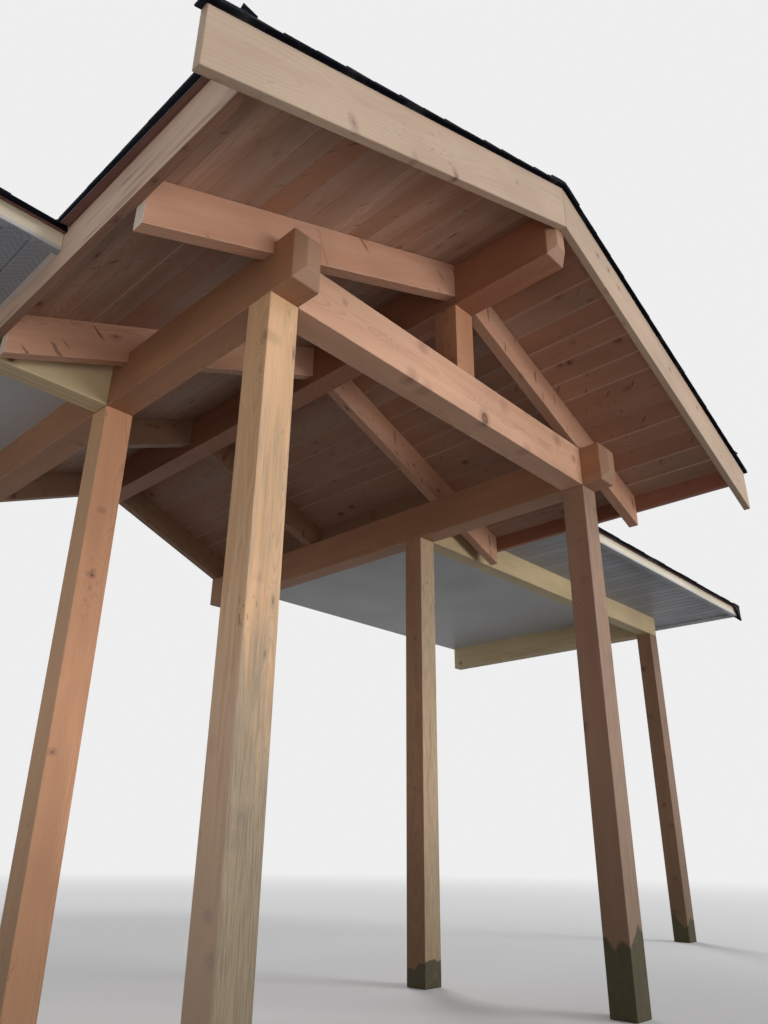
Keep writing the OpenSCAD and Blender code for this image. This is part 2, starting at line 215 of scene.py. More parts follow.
class MetalSettings(bpy.types.PropertyGroup):
    """Drip edges, soffit panels and their trim."""
    sheet: length("Sheet", "Thickness of the sheet metal", 0.0011)
    drip: colour("Drip edge", "Coating of the drip edges", 132, 97, 88)
    # The hem's paler coat is a painted highlight along the folded edge
    hem: colour("Hem", "Painted highlight on the folded hem", 132, 122, 126)
    soffit: colour("Soffit", "Coating of the soffit panels", 168, 170, 179)
    trim: colour("Soffit trim", "Coating of the soffit's edge trim", 206, 203, 204)
    rib: length("Rib pitch", "Distance between the grooves of a soffit panel", 0.1016)
    rib_w: length("Rib width", "Half width of a groove", 0.006)
    rib_d: length("Rib depth", "Depth of a groove", 0.007)
    lip: length("Trim lip", "Width of the trim that shows under the soffit", 0.013)
    edge: length("Trim edge", "Width of the bright edge of the trim under the fascia", 0.004)
    face: length("Trim face", "Height of the trim that shows on the fascia", 0.012)
    # The drip nose colour is painted shade: on the wings' noses, the rakes' drip edges, and faintly on the
    # wings' linings
    nose: colour("Drip nose", "Shaded coating on the nose of the wings' drip edges", 20, 21, 27)
    ceiling: colour("Ceiling", "Paint on the wings' ceilings", 212, 212, 212)


class StageSettings(bpy.types.PropertyGroup):
    """The floor, the backdrop, the lamps and the camera."""
    backdrop: share("Backdrop", "Brightness of the background", 0.86)
    floor: share("Floor", "Paleness of the floor", 0.96)
    bounce: share("Floor bounce", "Paleness of the floor as it lights the canopy", 0.16)
    fill: share("Fill", "Strength of the light from all round", 0.40, 2.0)
    aside: share("Side light", "How much stronger the light from all round is on the right", 0.35)
    key: share("Key", "Strength of the soft lamp from above", 0.6, 10.0)
    rim: share("Rim", "Strength of the soft lamp from behind", 0.9, 10.0)
    panel: FloatProperty(name="Panel", description="Power of the wide panel in front, in watts",
                         default=410.0, min=0.0, subtype="POWER", unit="POWER")
    glow: FloatProperty(name="Glow", description="Power of the lamp low on the left, in watts",
                        default=98.0, min=0.0, subtype="POWER", unit="POWER")
    side: FloatProperty(name="Side", description="Power of the panel on the left", unit="POWER",
                        default=90.0, min=0.0, subtype="POWER")
    lens: FloatProperty(name="Lens", description="Focal length over a 36 mm long side, in mm",
                        default=27.323, min=1.0, subtype="NONE")
    station: FloatVectorProperty(name="Camera", description="Where the camera stands", size=3,
                                 default=(-2.688, -5.684, -2.7155), subtype="TRANSLATION", unit="LENGTH")
    aim: FloatVectorProperty(name="Camera turn", description="Turn to the right, tilt up and roll",
                             size=3, default=(0.8146, 0.4088, 0.0094), subtype="EULER", unit="ROTATION")


class CanopySettings(bpy.types.PropertyGroup):
    """All that a user may change."""
    timber: PointerProperty(type=TimberSettings, name="Timber", description="Sawn timber")
    decking: PointerProperty(type=DeckingSettings, name="Decking", description="Board ceiling")
    shingle: PointerProperty(type=ShingleSettings, name="Shingles", description="Shingles and caps")
    metal: PointerProperty(type=MetalSettings, name="Metal", description="Sheet metal and paint")
    stage: PointerProperty(type=StageSettings, name="Stage", description="Floor, lamps and camera")


# Shader trees

class Graph:
    """Adds nodes to a shader tree. Each call takes numbers or sockets and gives back a socket."""

    def __init__(self, tree):
        self.tree = tree

    def add(self, kind, sockets=None, **settings):
        """A new node with its settings made and its sockets fed."""
        node = self.tree.nodes.new("ShaderNode" + kind)
        for name, value in settings.items():
            setattr(node, name, value)
        for name, value in (sockets or {}).items():
            self.feed(node.inputs[name], value)
        return node

    def feed(self, socket, value):
        """Links a socket to another, or sets its value."""
        if isinstance(value, bpy.types.NodeSocket):
            self.tree.links.new(value, socket)
        elif socket.type == "RGBA":
            socket.default_value = (*tuple(value)[:3], 1.0)
        else:
            socket.default_value = value

    def math(self, operation, *values):
        return self.add("Math", dict(enumerate(values)), operation=operation).outputs[0]

    def times(self, first, second):
        return self.math("MULTIPLY", first, second)

    def plus(self, first, second):
        return self.math("ADD", first, second)

    def minus(self, first, second):
        return self.math("SUBTRACT", first, second)

    def over(self, first, second):
        return self.math("DIVIDE", first, second)

    def scaled(self, value, scale, base):
        """The value times a scale, plus a base."""
        return self.math("MULTIPLY_ADD", value, scale, base)

    def vector(self, operation, *values, scale=None):
        sockets = dict(enumerate(values))
        if scale is not None:
            sockets["Scale"] = scale
        node = self.add("VectorMath", sockets, operation=operation)
        return node.outputs["Value" if operation in ("LENGTH", "DOT_PRODUCT") else "Vector"]

    def split(self, vector):
        return self.add("SeparateXYZ", {0: vector}).outputs

    def join(self, x, y, z):
        return self.add("CombineXYZ", {0: x, 1: y, 2: z}).outputs[0]

    def mix(self, factor, first, second, mode="MIX"):
        node = self.add("Mix", {0: factor, 6: first, 7: second}, data_type="RGBA", blend_type=mode)
        return node.outputs[2]

    def step(self, value, start, end, low=0.0, high=1.0):
        """Eases from low to high as value goes from start to end."""
        sockets = {"Value": value, "From Min": start, "From Max": end, "To Min": low, "To Max": high}
        return self.add("MapRange", sockets, interpolation_type="SMOOTHSTEP").outputs[0]

    def noise(self, vector, stretch, detail=2.0):
        """Noise from 0 to 1, with its scale along each axis."""
        stretched = self.vector("MULTIPLY", vector, stretch)
        return self.add("TexNoise", {"Vector": stretched, "Scale": 1.0, "Detail": detail}).outputs[0]

    def attribute(self, name, output="Fac"):
        return self.add("Attribute", attribute_name=name).outputs[output]

    def place(self):
        """Where a point of the surface is, in metres of the canopy's frame."""
        return self.add("TexCoord").outputs["Object"]

    def facing(self, direction):
        """How far the surface faces a direction, from -1 to 1."""
        return self.vector("DOT_PRODUCT", self.add("TexCoord").outputs["Normal"], direction)

    def seen(self):
        """1 for what the camera sees straight, in a reflection or through glass."""
        path = self.add("LightPath").outputs
        other = self.math("MAXIMUM", path["Is Glossy Ray"], path["Is Transmission Ray"])
        return self.math("MAXIMUM", path["Is Camera Ray"], other)

    def group(self, build, sockets):
        """Places a shared group, which is built the first time that it is asked for."""
        name = build.__doc__.splitlines()[0]
        tree = bpy.data.node_groups.get(name) or build(name)
        return self.add("Group", sockets, node_tree=tree).outputs

    def lay_over(self, build, color, place, sockets):
        """Lays a shared finish over a colour, and gives back the new colour."""
        return self.group(build, {"Color": color, "Vector": place, **sockets})["Color"]


def shared_group(name, takes, gives):
    """An empty group with its sockets, as its graph, what it takes and what it gives."""
    tree = bpy.data.node_groups.new(name, "ShaderNodeTree")
    for label, kind, default in takes:
        socket = tree.interface.new_socket(label, in_out="INPUT", socket_type="NodeSocket" + kind)
        socket.default_value = (*default, 1.0) if kind == "Color" else default
    for label, kind in gives:
        tree.interface.new_socket(label, in_out="OUTPUT", socket_type="NodeSocket" + kind)
    source = tree.nodes.new("NodeGroupInput")
    sink = tree.nodes.new("NodeGroupOutput")
    return Graph(tree), source.outputs, sink.inputs


# What every finish that lies over a colour takes
OVER_COLOR = (("Color", "Color", (0.5, 0.4, 0.3)), ("Vector", "Vector", (0, 0, 0)))
COLOR_ONLY = (("Color", "Color"),)
ALL_OUTPUTS = (("Color", "Color"), ("Roughness", "Float"), ("Height", "Float"))


def sawn_timber(name):
    """Sawn timber"""
    g, take, give = shared_group(name, (
        ("Vector", "Vector", (0, 0, 0)), ("Half size", "Vector", (1, 1, 1)),
        ("Grain", "Vector", (0, 0, 1)), ("Shift", "Vector", (0, 0, 0)),
        ("Pith", "Vector", (0.05, 0.03, 0)), ("Ring gap", "Float", 0.005),
        ("Knot gap", "Float", 0.16), ("Knot size", "Float", 0.014), ("Knot spread", "Float", 0.1),
        ("Figure", "Float", 0.5), ("Patches", "Float", 0.4), ("Wear", "Float", 0.5),
        ("Saw marks", "Float", 0.0),
        ("Early wood", "Color", (0.6, 0.4, 0.25)), ("Late wood", "Color", (0.4, 0.25, 0.15)),
        ("Knot", "Color", (0.15, 0.06, 0.03)), ("End grain", "Color", (0.5, 0.35, 0.25)),
    ), ALL_OUTPUTS)
    place, shift = take["Vector"], take["Shift"]
    shifted = g.vector("ADD", place, shift)
    # The log wanders a little along its length, and its rings with it
    drift = g.add("TexNoise", {"Vector": g.vector("MULTIPLY", shifted, (2.5, 2.5, 0.9)), "Scale": 1.0})
    drift = g.vector("SUBTRACT", drift.outputs[1], (0.5, 0.5, 0.5))
    bent = g.vector("ADD", g.vector("SUBTRACT", place, take["Pith"]),
                    g.vector("MULTIPLY", drift, (0.11, 0.11, 0.0)))
    flat = g.vector("MULTIPLY", bent, (1, 1, 0))
    heading = g.vector("NORMALIZE", flat)
    # Knots run out from the pith, so each is a spot in a cylinder of headings round it
    along = g.join(0.0, 0.0, g.times(g.split(place)[2], 0.7))
    spot = g.vector("ADD", along, shift)
    spot = g.vector("ADD", spot, g.vector("SCALE", heading, scale=take["Knot spread"]))
    cells = g.add("TexVoronoi", {"Vector": spot, "Scale": g.over(1.0, take["Knot gap"])})
    away = g.times(cells.outputs["Distance"], take["Knot gap"])
    chance = g.add("SeparateColor", {0: cells.outputs["Color"]}).outputs[0]
    size = g.times(take["Knot size"], g.plus(0.35, chance))
    ragged = g.plus(away, g.times(g.noise(shifted, (70, 70, 70)), 0.006))
    knot = g.step(ragged, g.times(size, 1.25), g.times(size, 0.75))
    core = g.step(ragged, g.times(size, 0.8), g.times(size, 0.3))
    halo = g.step(away, g.times(size, 2.1), size)
    near = g.step(away, g.times(size, 4.5), size)
    # Growth rings, which swirl round the knots
    swirl = g.times(g.times(near, near), size)
    phase = g.over(g.plus(g.vector("LENGTH", flat), swirl), take["Ring gap"])
    late = g.step(g.math("FRACT", phase), 0.3, 0.95)
    fibre = g.noise(shifted, (260, 260, 7), 3.0)
    patch = g.step(g.noise(shifted, (11, 11, 1.1), 3.0), 0.3, 0.7)
    wide = g.step(g.noise(shifted, (3.5, 3.5, 1.6)), 0.35, 0.65)
    wood = g.mix(g.times(late, take["Figure"]), take["Early wood"], take["Late wood"])
    wood = g.mix(g.times(patch, take["Patches"]), wood, take["Late wood"])
    shade = g.plus(g.times(fibre, 0.22), g.times(wide, 0.14))
    wood = g.mix(1.0, wood, g.plus(shade, 0.84), "MULTIPLY")
    wood = g.mix(g.times(halo, 0.28), wood, take["Knot"])
    wood = g.mix(g.times(knot, 0.88), wood, take["Knot"])
    wood = g.mix(g.times(core, 0.45), wood, take["Late wood"])
    # End grain shows on the faces that cross the grain
    end = g.step(g.math("ABSOLUTE", g.facing(take["Grain"])), 0.5, 0.68)
    ends = g.mix(g.times(late, 0.45), take["End grain"], take["Late wood"])
    wood = g.mix(g.times(end, 0.9), wood, ends)
    # The long edges are rubbed pale
    spare = g.split(g.vector("SUBTRACT", take["Half size"], g.vector("ABSOLUTE", place)))
    edge = g.math("MAXIMUM", spare[0], spare[1])
    rub = g.times(g.noise(shifted, (30, 30, 9), 3.0), 0.009)
    worn = g.times(g.step(g.plus(edge, rub), 0.0085, 0.003), take["Wear"])
    pale = g.mix(0.35, take["Early wood"], (1.0, 0.94, 0.85))
    g.feed(give["Color"], g.mix(worn, wood, pale))
    rough = g.scaled(fibre, 0.22, 0.52)
    g.feed(give["Roughness"], g.scaled(knot, -0.12, rough))
    # Late wood and knots stand proud, and the saw leaves fine ridges across the grain
    teeth = g.noise(shifted, (9, 9, 420))
    height = g.scaled(late, 0.22, g.times(fibre, 0.5))
    height = g.scaled(g.times(teeth, take["Saw marks"]), 0.9, height)
    g.feed(give["Height"], g.scaled(knot, 0.15, height))
    return g.tree


def weathered_face(name):
    """Weathered face"""
    g, take, give = shared_group(name, (
        *OVER_COLOR, ("Facing", "Vector", (0, -1, 0)), ("Amount", "Float", 0.5),
        ("Grey", "Color", (0.6, 0.6, 0.5)), ("Checks", "Float", 0.3)), COLOR_ONLY)
    place, amount = take["Vector"], take["Amount"]
    # Streaks along the grain widen with the amount, and close up past 1
    reach = g.scaled(amount, -0.36, 0.60)
    streak = g.step(g.noise(place, (34, 34, 2.2), 4.0), reach, g.plus(reach, 0.3))
    broad = g.step(g.noise(place, (9, 9, 1.3)), 0.3, 0.6)
    face = g.step(g.facing(take["Facing"]), 0.6, 0.95)
    cover = g.scaled(broad, 0.3, 0.6)
    cover = g.plus(cover, g.math("MAXIMUM", g.minus(amount, 1.0), 0.0))
    mask = g.times(g.times(streak, g.math("MINIMUM", cover, 1.0)), face)
    # Drying checks are fine dark lines in the bleached wood
    check = g.step(g.noise(place, (230, 230, 9), 3.0), 0.6, 0.36)
    dry = g.scaled(g.times(check, take["Checks"]), -0.4, 1.04)
    aged = g.mix(1.0, g.mix(0.3, take["Grey"], take["Color"]), dry, "MULTIPLY")
    g.feed(give["Color"], g.mix(mask, take["Color"], aged))
    return g.tree


def spike_knots(name):
    """Spike knots"""
    g, take, give = shared_group(name, (
        *OVER_COLOR, ("Where", "Float", 1.0), ("Gap", "Float", 0.2), ("Half length", "Float", 0.035),
        ("Half width", "Float", 0.006), ("Lean", "Float", 0.5), ("Chance", "Float", 0.7),
        ("Knot", "Color", (0.15, 0.06, 0.03))), COLOR_ONLY)
    place, gap = take["Vector"], take["Gap"]
    # Branches cut along their length: short dark streaks, all leaning one way across the grain
    across, _, along = g.split(place)
    sway = g.minus(g.noise(place, (22, 22, 9)), 0.5)
    along = g.scaled(sway, 0.03, along)
    slid = g.minus(along, g.times(across, take["Lean"]))
    row = g.over(slid, gap)
    spot = g.join(row, g.over(across, g.times(gap, 0.5)), 0.0)
    cells = g.add("TexVoronoi", {"Vector": spot, "Scale": 1.0}, voronoi_dimensions="2D")
    near_x, near_y, _ = g.split(g.vector("SUBTRACT", spot, cells.outputs["Position"]))
    red, green, blue = g.add("SeparateColor", {0: cells.outputs["Color"]}).outputs
    wide = g.over(g.times(near_x, gap), take["Half width"])
    tall = g.over(g.times(near_y, gap), g.times(take["Half length"], 2.0))
    size = g.scaled(green, 0.9, 0.45)
    away = g.over(g.vector("LENGTH", g.join(wide, tall, 0.0)), size)
    away = g.plus(away, g.times(g.noise(place, (90, 90, 90), 3.0), 0.9))
    mask = g.times(g.step(away, 1.6, 0.9), g.math("LESS_THAN", red, take["Chance"]))
    mask = g.times(g.times(mask, take["Where"]), g.scaled(blue, 0.4, 0.4))
    g.feed(give["Color"], g.mix(mask, take["Color"], take["Knot"]))
    return g.tree


def dark_specks(name):
    """Dark specks"""
    g, take, give = shared_group(name, (
        *OVER_COLOR, ("Amount", "Float", 0.5), ("Speck", "Color", (0.1, 0.08, 0.06))), COLOR_ONLY)
    fine = g.step(g.noise(take["Vector"], (85, 85, 34), 3.0), 0.56, 0.68)
    cloud = g.noise(take["Vector"], (7, 7, 3.2), 3.0)
    patch = g.step(cloud, g.scaled(take["Amount"], -0.2, 0.64), 0.78)
    mask = g.times(fine, patch)
    g.feed(give["Color"], g.mix(g.times(mask, 0.75), take["Color"], take["Speck"]))
    return g.tree


def damp_foot(name):
    """Damp foot"""
    g, take, give = shared_group(name, (
        *OVER_COLOR, ("Foot", "Float", 0.0), ("Reach", "Float", 0.15), ("Foot shade", "Float", 1.3),
        ("Stain", "Color", (0.1, 0.08, 0.04))), COLOR_ONLY)
    place = take["Vector"]
    # The stain ends in an uneven line, and above it the wood darkens gently towards the foot as painted
    # shade
    lifted = g.minus(g.split(place)[2], take["Foot"])
    uneven = g.scaled(g.noise(place, (9, 9, 2), 1.0), 1.9, 0.05)
    reach = g.times(take["Reach"], uneven)
    wet = g.step(lifted, g.times(reach, 1.06), g.times(reach, 0.9))
    blotch = g.scaled(g.noise(place, (40, 40, 25), 3.0), 0.3, 0.84)
    foot_shade = g.times(g.step(lifted, take["Foot shade"], 0.0), 0.5)
    mask = g.math("MAXIMUM", g.times(wet, blotch), foot_shade)
    g.feed(give["Color"], g.mix(mask, take["Color"], take["Stain"]))
    return g.tree


def coated_sheet(name):
    """Coated sheet"""
    g, take, give = shared_group(name, (
        ("Color", "Color", (0.6, 0.6, 0.6)), ("Vector", "Vector", (0, 0, 0)),
        ("Mottle", "Float", 0.08), ("Dust", "Color", (0.4, 0.38, 0.34)), ("Dirt", "Float", 0.1),
    ), ALL_OUTPUTS)
    cloud = g.noise(take["Vector"], (2.2, 2.2, 2.2), 4.0)
    speck = g.noise(take["Vector"], (160, 160, 160))
    wave = g.times(g.minus(cloud, 0.5), g.times(take["Mottle"], 4.0))
    coat = g.mix(1.0, take["Color"], g.plus(1.0, wave), "MULTIPLY")
    smudge = g.times(g.step(g.noise(take["Vector"], (7, 7, 7), 5.0), 0.5, 0.78), take["Dirt"])
    g.feed(give["Color"], g.mix(smudge, coat, take["Dust"]))
    g.feed(give["Roughness"], g.scaled(cloud, 0.3, g.scaled(smudge, 0.2, 0.3)))
    g.feed(give["Height"], g.scaled(speck, 0.4, g.times(cloud, 0.6)))
    return g.tree


def new_material(name):
    """A material with its graph and its surface shader."""
    material = bpy.data.materials.new(name)
    material.use_nodes = True
    graph = Graph(material.node_tree)
    return material, graph, material.node_tree.nodes["Principled BSDF"]


def finish_surface(graph, surface, color, rough, height, depth, gloss=0.5):
    """Feeds the surface shader, with the height as a bump of that depth in metres."""
    graph.feed(surface.inputs["Specular IOR Level"], gloss)
    bump = graph.add("Bump", {"Height": height, "Distance": depth, "Strength": 0.9})
    graph.feed(surface.inputs["Base Color"], color)
    graph.feed(surface.inputs["Roughness"], rough)
    graph.feed(surface.inputs["Normal"], bump.outputs[0])


def wood_sockets(timber, rng):
    """What all timbers share: rings, knots, wear, and a place of their own in the log."""
    return {
        "Shift": (rng.uniform(-9, 9), rng.uniform(-9, 9), rng.uniform(-9, 9)),
        "Ring gap": timber.ring_gap * rng.uniform(0.8, 1.3),
        "Knot gap": timber.knot_gap * rng.uniform(0.9, 1.15),
        "Knot size": timber.knot_size, "Knot": timber.knot, "Wear": timber.wear,
    }


def timber_material(name, centre, turn, half, woods, look=(), spikes=None, weather=(), specks=None,
                    ply=None, foot=None):
    """Sawn timber whose grain runs along its own length.

    look changes the wood's own values. spikes says which way spike knots face, and their sizes. weather
    has a row for each weathered face: which way it faces, how weathered it is at the top and at the foot,
    and its colour. ply is the axis and the thickness of a beam's plies, and foot how far the damp climbs.
    """
    timber = bpy.context.scene.canopy.timber
    rng = random.Random(name)
    material, graph, surface = new_material(name)
    place = graph.add("Mapping", {"Vector": graph.place(), "Location": centre, "Rotation": turn},
                      vector_type="TEXTURE").outputs[0]
    grain = Matrix.Rotation(turn[1], 3, "Y") @ Matrix.Rotation(turn[0], 3, "X") @ Vector((0, 0, 1))
    sockets = wood_sockets(timber, rng)
    sockets.update({
        "Vector": place, "Half size": half, "Grain": grain, "End grain": timber.end,
        "Early wood": woods[0], "Late wood": woods[1],
        "Pith": (half[0] * rng.uniform(0.5, 1.5), half[1] * rng.uniform(-1.5, 1.5), 0.0),
    })
    sockets.update(look)
    wood = graph.group(sawn_timber, sockets)
    color = wood["Color"]
    local = graph.vector("ADD", place, sockets["Shift"])
    if spikes:
        facing, sizes = spikes
        where = graph.step(graph.facing(facing), 0.6, 0.9)
        color = graph.lay_over(spike_knots, color, local, {"Where": where, "Knot": timber.knot, **sizes})
    for facing, top, low, bleach_and_light in weather:
        # Drying checks show on the fronts above all
        checks = 0.8 if facing == FRONT else 0.1
        amount = graph.step(graph.split(graph.place())[2], FOOT_Z / 4, FOOT_Z, top, low)
        color = graph.lay_over(weathered_face, color, local, {
            "Facing": facing, "Grey": bleach_and_light, "Checks": checks, "Amount": amount})
    if specks:
        color = graph.lay_over(dark_specks, color, local, {"Amount": specks, "Speck": timber.speck})
    if ply:
        # A thin dark joint between the plies of a built-up beam
        axis, thickness = ply
        gap = graph.minus(graph.math("ABSOLUTE", graph.split(place)[axis]), thickness / 2)
        seam = graph.step(graph.math("ABSOLUTE", gap), 0.0018, 0.0007)
        color = graph.mix(graph.times(seam, 0.75), color, timber.speck)
    if foot:
        # The damp stain at the foot, over a darkening up to 1.3 m that is painted shade
        color = graph.lay_over(damp_foot, color, graph.place(), {
            "Foot": FOOT_Z, "Reach": foot, "Stain": timber.stain})
    finish_surface(graph, surface, color, wood["Roughness"], wood["Height"], depth=0.0008)
    return material


def dress(node, material, arris):
    """Gives a solid of the frame its finish, joins its facets into flat faces and eases its edges."""
    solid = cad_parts[node]
    solid.material_slots[0].link = "OBJECT"
    solid.material_slots[0].material = material
    if arris:
        weld = solid.modifiers.new("Weld", "WELD")
        weld.merge_threshold = 0.00001
        flat = solid.modifiers.new("Flat faces", "DECIMATE")
        flat.decimate_type = "DISSOLVE"
        flat.angle_limit = 0.01
        ease = solid.modifiers.new("Arris", "BEVEL")
        ease.width = arris
        ease.segments = 2
        ease.limit_method = "ANGLE"
        ease.angle_limit = radians(20)


def middle(node):
    """Middle of a solid's box and half its size."""
    low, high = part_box(node)
    return (low + high) / 2, (high - low) / 2


ALONG_X = (0.0, pi / 2, 0.0)
ALONG_Y = (-pi / 2, 0.0, 0.0)
ALONG_Z = (0.0, 0.0, 0.0)
FRONT = (0.0, -1.0, 0.0)


def straight_timber(node, run, woods, **options):
    """Finishes a straight timber that runs along an axis."""
    centre, size = middle(node)
    half = {ALONG_X: (size.z, size.y, size.x), ALONG_Y: (size.x, size.z, size.y),
            ALONG_Z: tuple(size)}[run]
    material = timber_material(node, centre, run, half, woods, **options)
    dress(node, material, bpy.context.scene.canopy.timber.arris)


def sloping_timber(node, side, top_z, depth, woods, **options):
    """Finishes a timber that runs down the portico slope, with its upper face at top_z on the centre."""
    centre, size = middle(node)
    drop = depth / 2 / cos(PORTICO_TILT)
    centre = Vector((centre.x, centre.y, top_z - drop - PORTICO_SLOPE * abs(centre.x)))
    turn = (0.0, side * (pi / 2 + PORTICO_TILT), 0.0)
    half = (depth / 2, size.y, size.x / cos(PORTICO_TILT))
    material = timber_material(node, centre, turn, half, woods, **options)
    dress(node, material, bpy.context.scene.canopy.timber.arris)


# Making meshes

class Work:
    """Gathers closed solids in a mesh. A face keeps a tone and a mark, a point its place in the grain."""

    def __init__(self):
        self.mesh = bmesh.new()
        self.tone = self.mesh.faces.layers.float.new("tone")
        self.mark = self.mesh.faces.layers.float.new("mark")
        self.grain = self.mesh.verts.layers.float_vector.new("grain")

    def solid(self, rings, tone=0.0, marked=(), grain=None):
        """Joins rings of as many points each into a closed solid; marked names sides by number."""
        verts = [[self.mesh.verts.new(p) for p in ring] for ring in rings]
        faces = [self.mesh.faces.new(verts[0][::-1]), self.mesh.faces.new(verts[-1])]
        count = len(verts[0])
        for lower, upper in zip(verts, verts[1:]):
            for i in range(count):
                j = (i + 1) % count
                faces.append(self.mesh.faces.new((lower[i], lower[j], upper[j], upper[i])))
                faces[-1][self.mark] = 1.0 if i in marked else 0.0
        for face in faces:
            face[self.tone] = tone
        if grain:
            for ring in verts:
                for vert in ring:
                    vert[self.grain] = grain(vert.co)

    def cut(self, point, outward):
        """Cuts off all that lies outward of a plane, and closes the solids again."""
        bm = self.mesh
        everything = bm.verts[:] + bm.edges[:] + bm.faces[:]
        result = bmesh.ops.bisect_plane(bm, geom=everything, dist=0.000001, plane_co=point,
                                        plane_no=outward, clear_outer=True)
        rim = [e for e in result["geom_cut"] if isinstance(e, bmesh.types.BMEdge)]
        rim = [e for e in rim if len(e.link_faces) == 1]
        for face in bmesh.ops.holes_fill(bm, edges=rim, sides=0)["faces"]:
            beside = [f for e in face.edges for f in e.link_faces if f != face]
            if beside:
                face[self.tone] = beside[0][self.tone]

    def cut_all(self, bounds):
        """Cuts along several planes, one after another."""
        for origin, outward in bounds:
            self.cut(origin, outward)

    def piece(self, name, slot, material, *nodes):
        """Makes the mesh an object of the canopy that stands for those solids of the frame."""
        bmesh.ops.recalc_face_normals(self.mesh, faces=self.mesh.faces[:])
        mesh = bpy.data.meshes.new(name)
        self.mesh.to_mesh(mesh)
        self.mesh.free()
        if not mesh.polygons:
            raise RuntimeError(f"{name} has no faces")
        mesh.materials.append(material)
        made = bpy.data.objects.new(name, mesh)
        bpy.context.scene.collection.objects.link(made)
        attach(made, "root")
        if nodes:
            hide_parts(*nodes)


def mirrored(side, x, y, z):
    """A point of the right-hand side, or its mirror image for the left."""
    return Vector((side * x, y, z))


def folded_sheet(points, thickness):
    """Outline of a sheet folded along points, its thickness to their left. Sharp folds are cut blunt."""
    points = [Vector(p) for p in points]
    backs = []
    for i, point in enumerate(points):
        before = (point - points[i - 1]).normalized() if i else None
        after = (points[i + 1] - point).normalized() if i + 1 < len(points) else None
        run = (before or after) + (after or before)
        run.normalize()
        square = Vector((-run.y, run.x))
        bend = (before or after).dot(run)
        backs.append(point + square * thickness / max(bend, 0.4))
    return points + backs[::-1]


def extrude(work, outline, place, start, end, tone=0.0, marked=()):
    """Runs an outline from start to end; place turns (outline x, outline y, distance) into a point."""
    work.solid([[place(p[0], p[1], run) for p in outline] for run in (start, end)], tone, marked)


class Slope:
    """A roof plane, with its origin on the eave: up the slope, along the eave and out of the roof."""

    def __init__(self, origin, up, along):
        self.origin, self.up, self.along = origin, up.normalized(), along.normalized()
        self.out = self.up.cross(self.along)
        if self.out.z < 0:
            self.out.negate()

    def at(self, up, along, out):
        return self.origin + self.up * up + self.along * along + self.out * out


def portico_plane(side):
    """The plane under the portico's shingles, from the edge of its eave."""
    x = FASCIA_X + SHINGLE_EAVE
    origin = mirrored(side, x, 0.0, SHINGLE_Z - PORTICO_SLOPE * x)
    return Slope(origin, Vector((-side, 0.0, PORTICO_SLOPE)), Vector((0.0, 1.0, 0.0)))


def wing_front_plane(side):
    """The underside of the wing roof's front slope."""
    origin = Vector((0.0, WING_EDGE_Y, WING_EAVE_Z + WING_SLOPE * (WING_EDGE_Y - WING_FACE_Y)))
    return Slope(origin, Vector((0.0, 1.0, WING_SLOPE)), Vector((side, 0.0, 0.0)))


def wing_end_plane(side):
    """The underside of the wing roof's end slope."""
    origin = mirrored(side, WING_EDGE_X, 0.0, WING_EAVE_Z - WING_SLOPE * (WING_EDGE_X - WING_FACE_X))
    return Slope(origin, Vector((-side, 0.0, WING_SLOPE)), Vector((0.0, 1.0, 0.0)))


def under_wing_roof(out):
    """Height of the wing roof's underside, at a distance out from the fascia."""
    return WING_EAVE_Z - WING_SLOPE * max(out, 0.0)


def valley(side, offset=0.0):
    """The upright plane over the valley between portico and wing, with its normal towards the wing."""
    foot = mirrored(side, FASCIA_X + SHINGLE_EAVE, WING_EDGE_Y, 0.0)
    normal = Vector((side * -foot.y, abs(foot.x), 0.0)).normalized()
    return foot + normal * offset, normal


def hip(side):
    """The upright plane over the wing's hip, with its normal towards the end slope."""
    return mirrored(side, WING_EDGE_X, WING_EDGE_Y, 0.0), Vector((side, 1.0, 0.0)).normalized()


def outside(points, origin, outward):
    """Whether all the points lie outward of a plane."""
    return all((point - origin).dot(outward) > 0 for point in points)


def lay_courses(work, plane, base, first, reach, start, end, rng, bounds):
    """Lays shingles in courses up a plane. Bounds are planes, and a tab wholly outside one is left out."""
    shingle = bpy.context.scene.canopy.shingle
    row = 0
    while first + row * shingle.exposure < reach - 0.01:
        low = first + row * shingle.exposure
        high = min(low + shingle.exposure + shingle.lap, reach)
        left = start - rng.uniform(0.0, shingle.tab_max)
        while left < end:
            right = left + rng.uniform(shingle.tab_min, shingle.tab_max)
            near, far = max(left, start), min(right, end) - TAB_GAP
            butt = shingle.thick if rng.random() < DOUBLE_SHARE else shingle.thin
            butt *= rng.uniform(0.94, 1.0)
            edge = low - rng.uniform(0.0, 0.004) if row else low
            tone = rng.random()
            curl = rng.uniform(0.0, 0.0018)
            left = right
            corners = [plane.at(u, a, 0.0) for u in (low, high) for a in (near, far)]
            if far - near < TAB_LEAST or any(outside(corners, *bound) for bound in bounds):
                continue
            # The butt rests on the heads of the course below, and the head on the felt
            layers = ((HEAD_TOP, FELT_T), (butt, HEAD_TOP))
            work.solid([[plane.at(edge, near, base + foot), plane.at(edge, far, base + foot + curl),
                         plane.at(high, far, base + head), plane.at(high, near, base + head)]
                        for foot, head in layers], tone)
        row += 1


def lay_sheet(work, plane, low, high, start, end, under, over, tone):
    """Lays one flat layer on a plane."""
    corners = ((low, start), (low, end), (high, end), (high, start))
    work.solid([[plane.at(u, a, h) for u, a in corners] for h in (under, over)], tone)


def cap_ring(point, out, left, right, width, under, over):
    """Section of a bent cap, over its underside and back over its top, with a crease along the middle."""
    across = ((left, 1.0), (left, 0.28), (None, 0.0), (right, 0.28), (right, 1.0))
    line = [point + (way * (width * part) if way else out * -0.004) for way, part in across]
    return [p + out * under for p in line] + [p + out * over for p in reversed(line)]


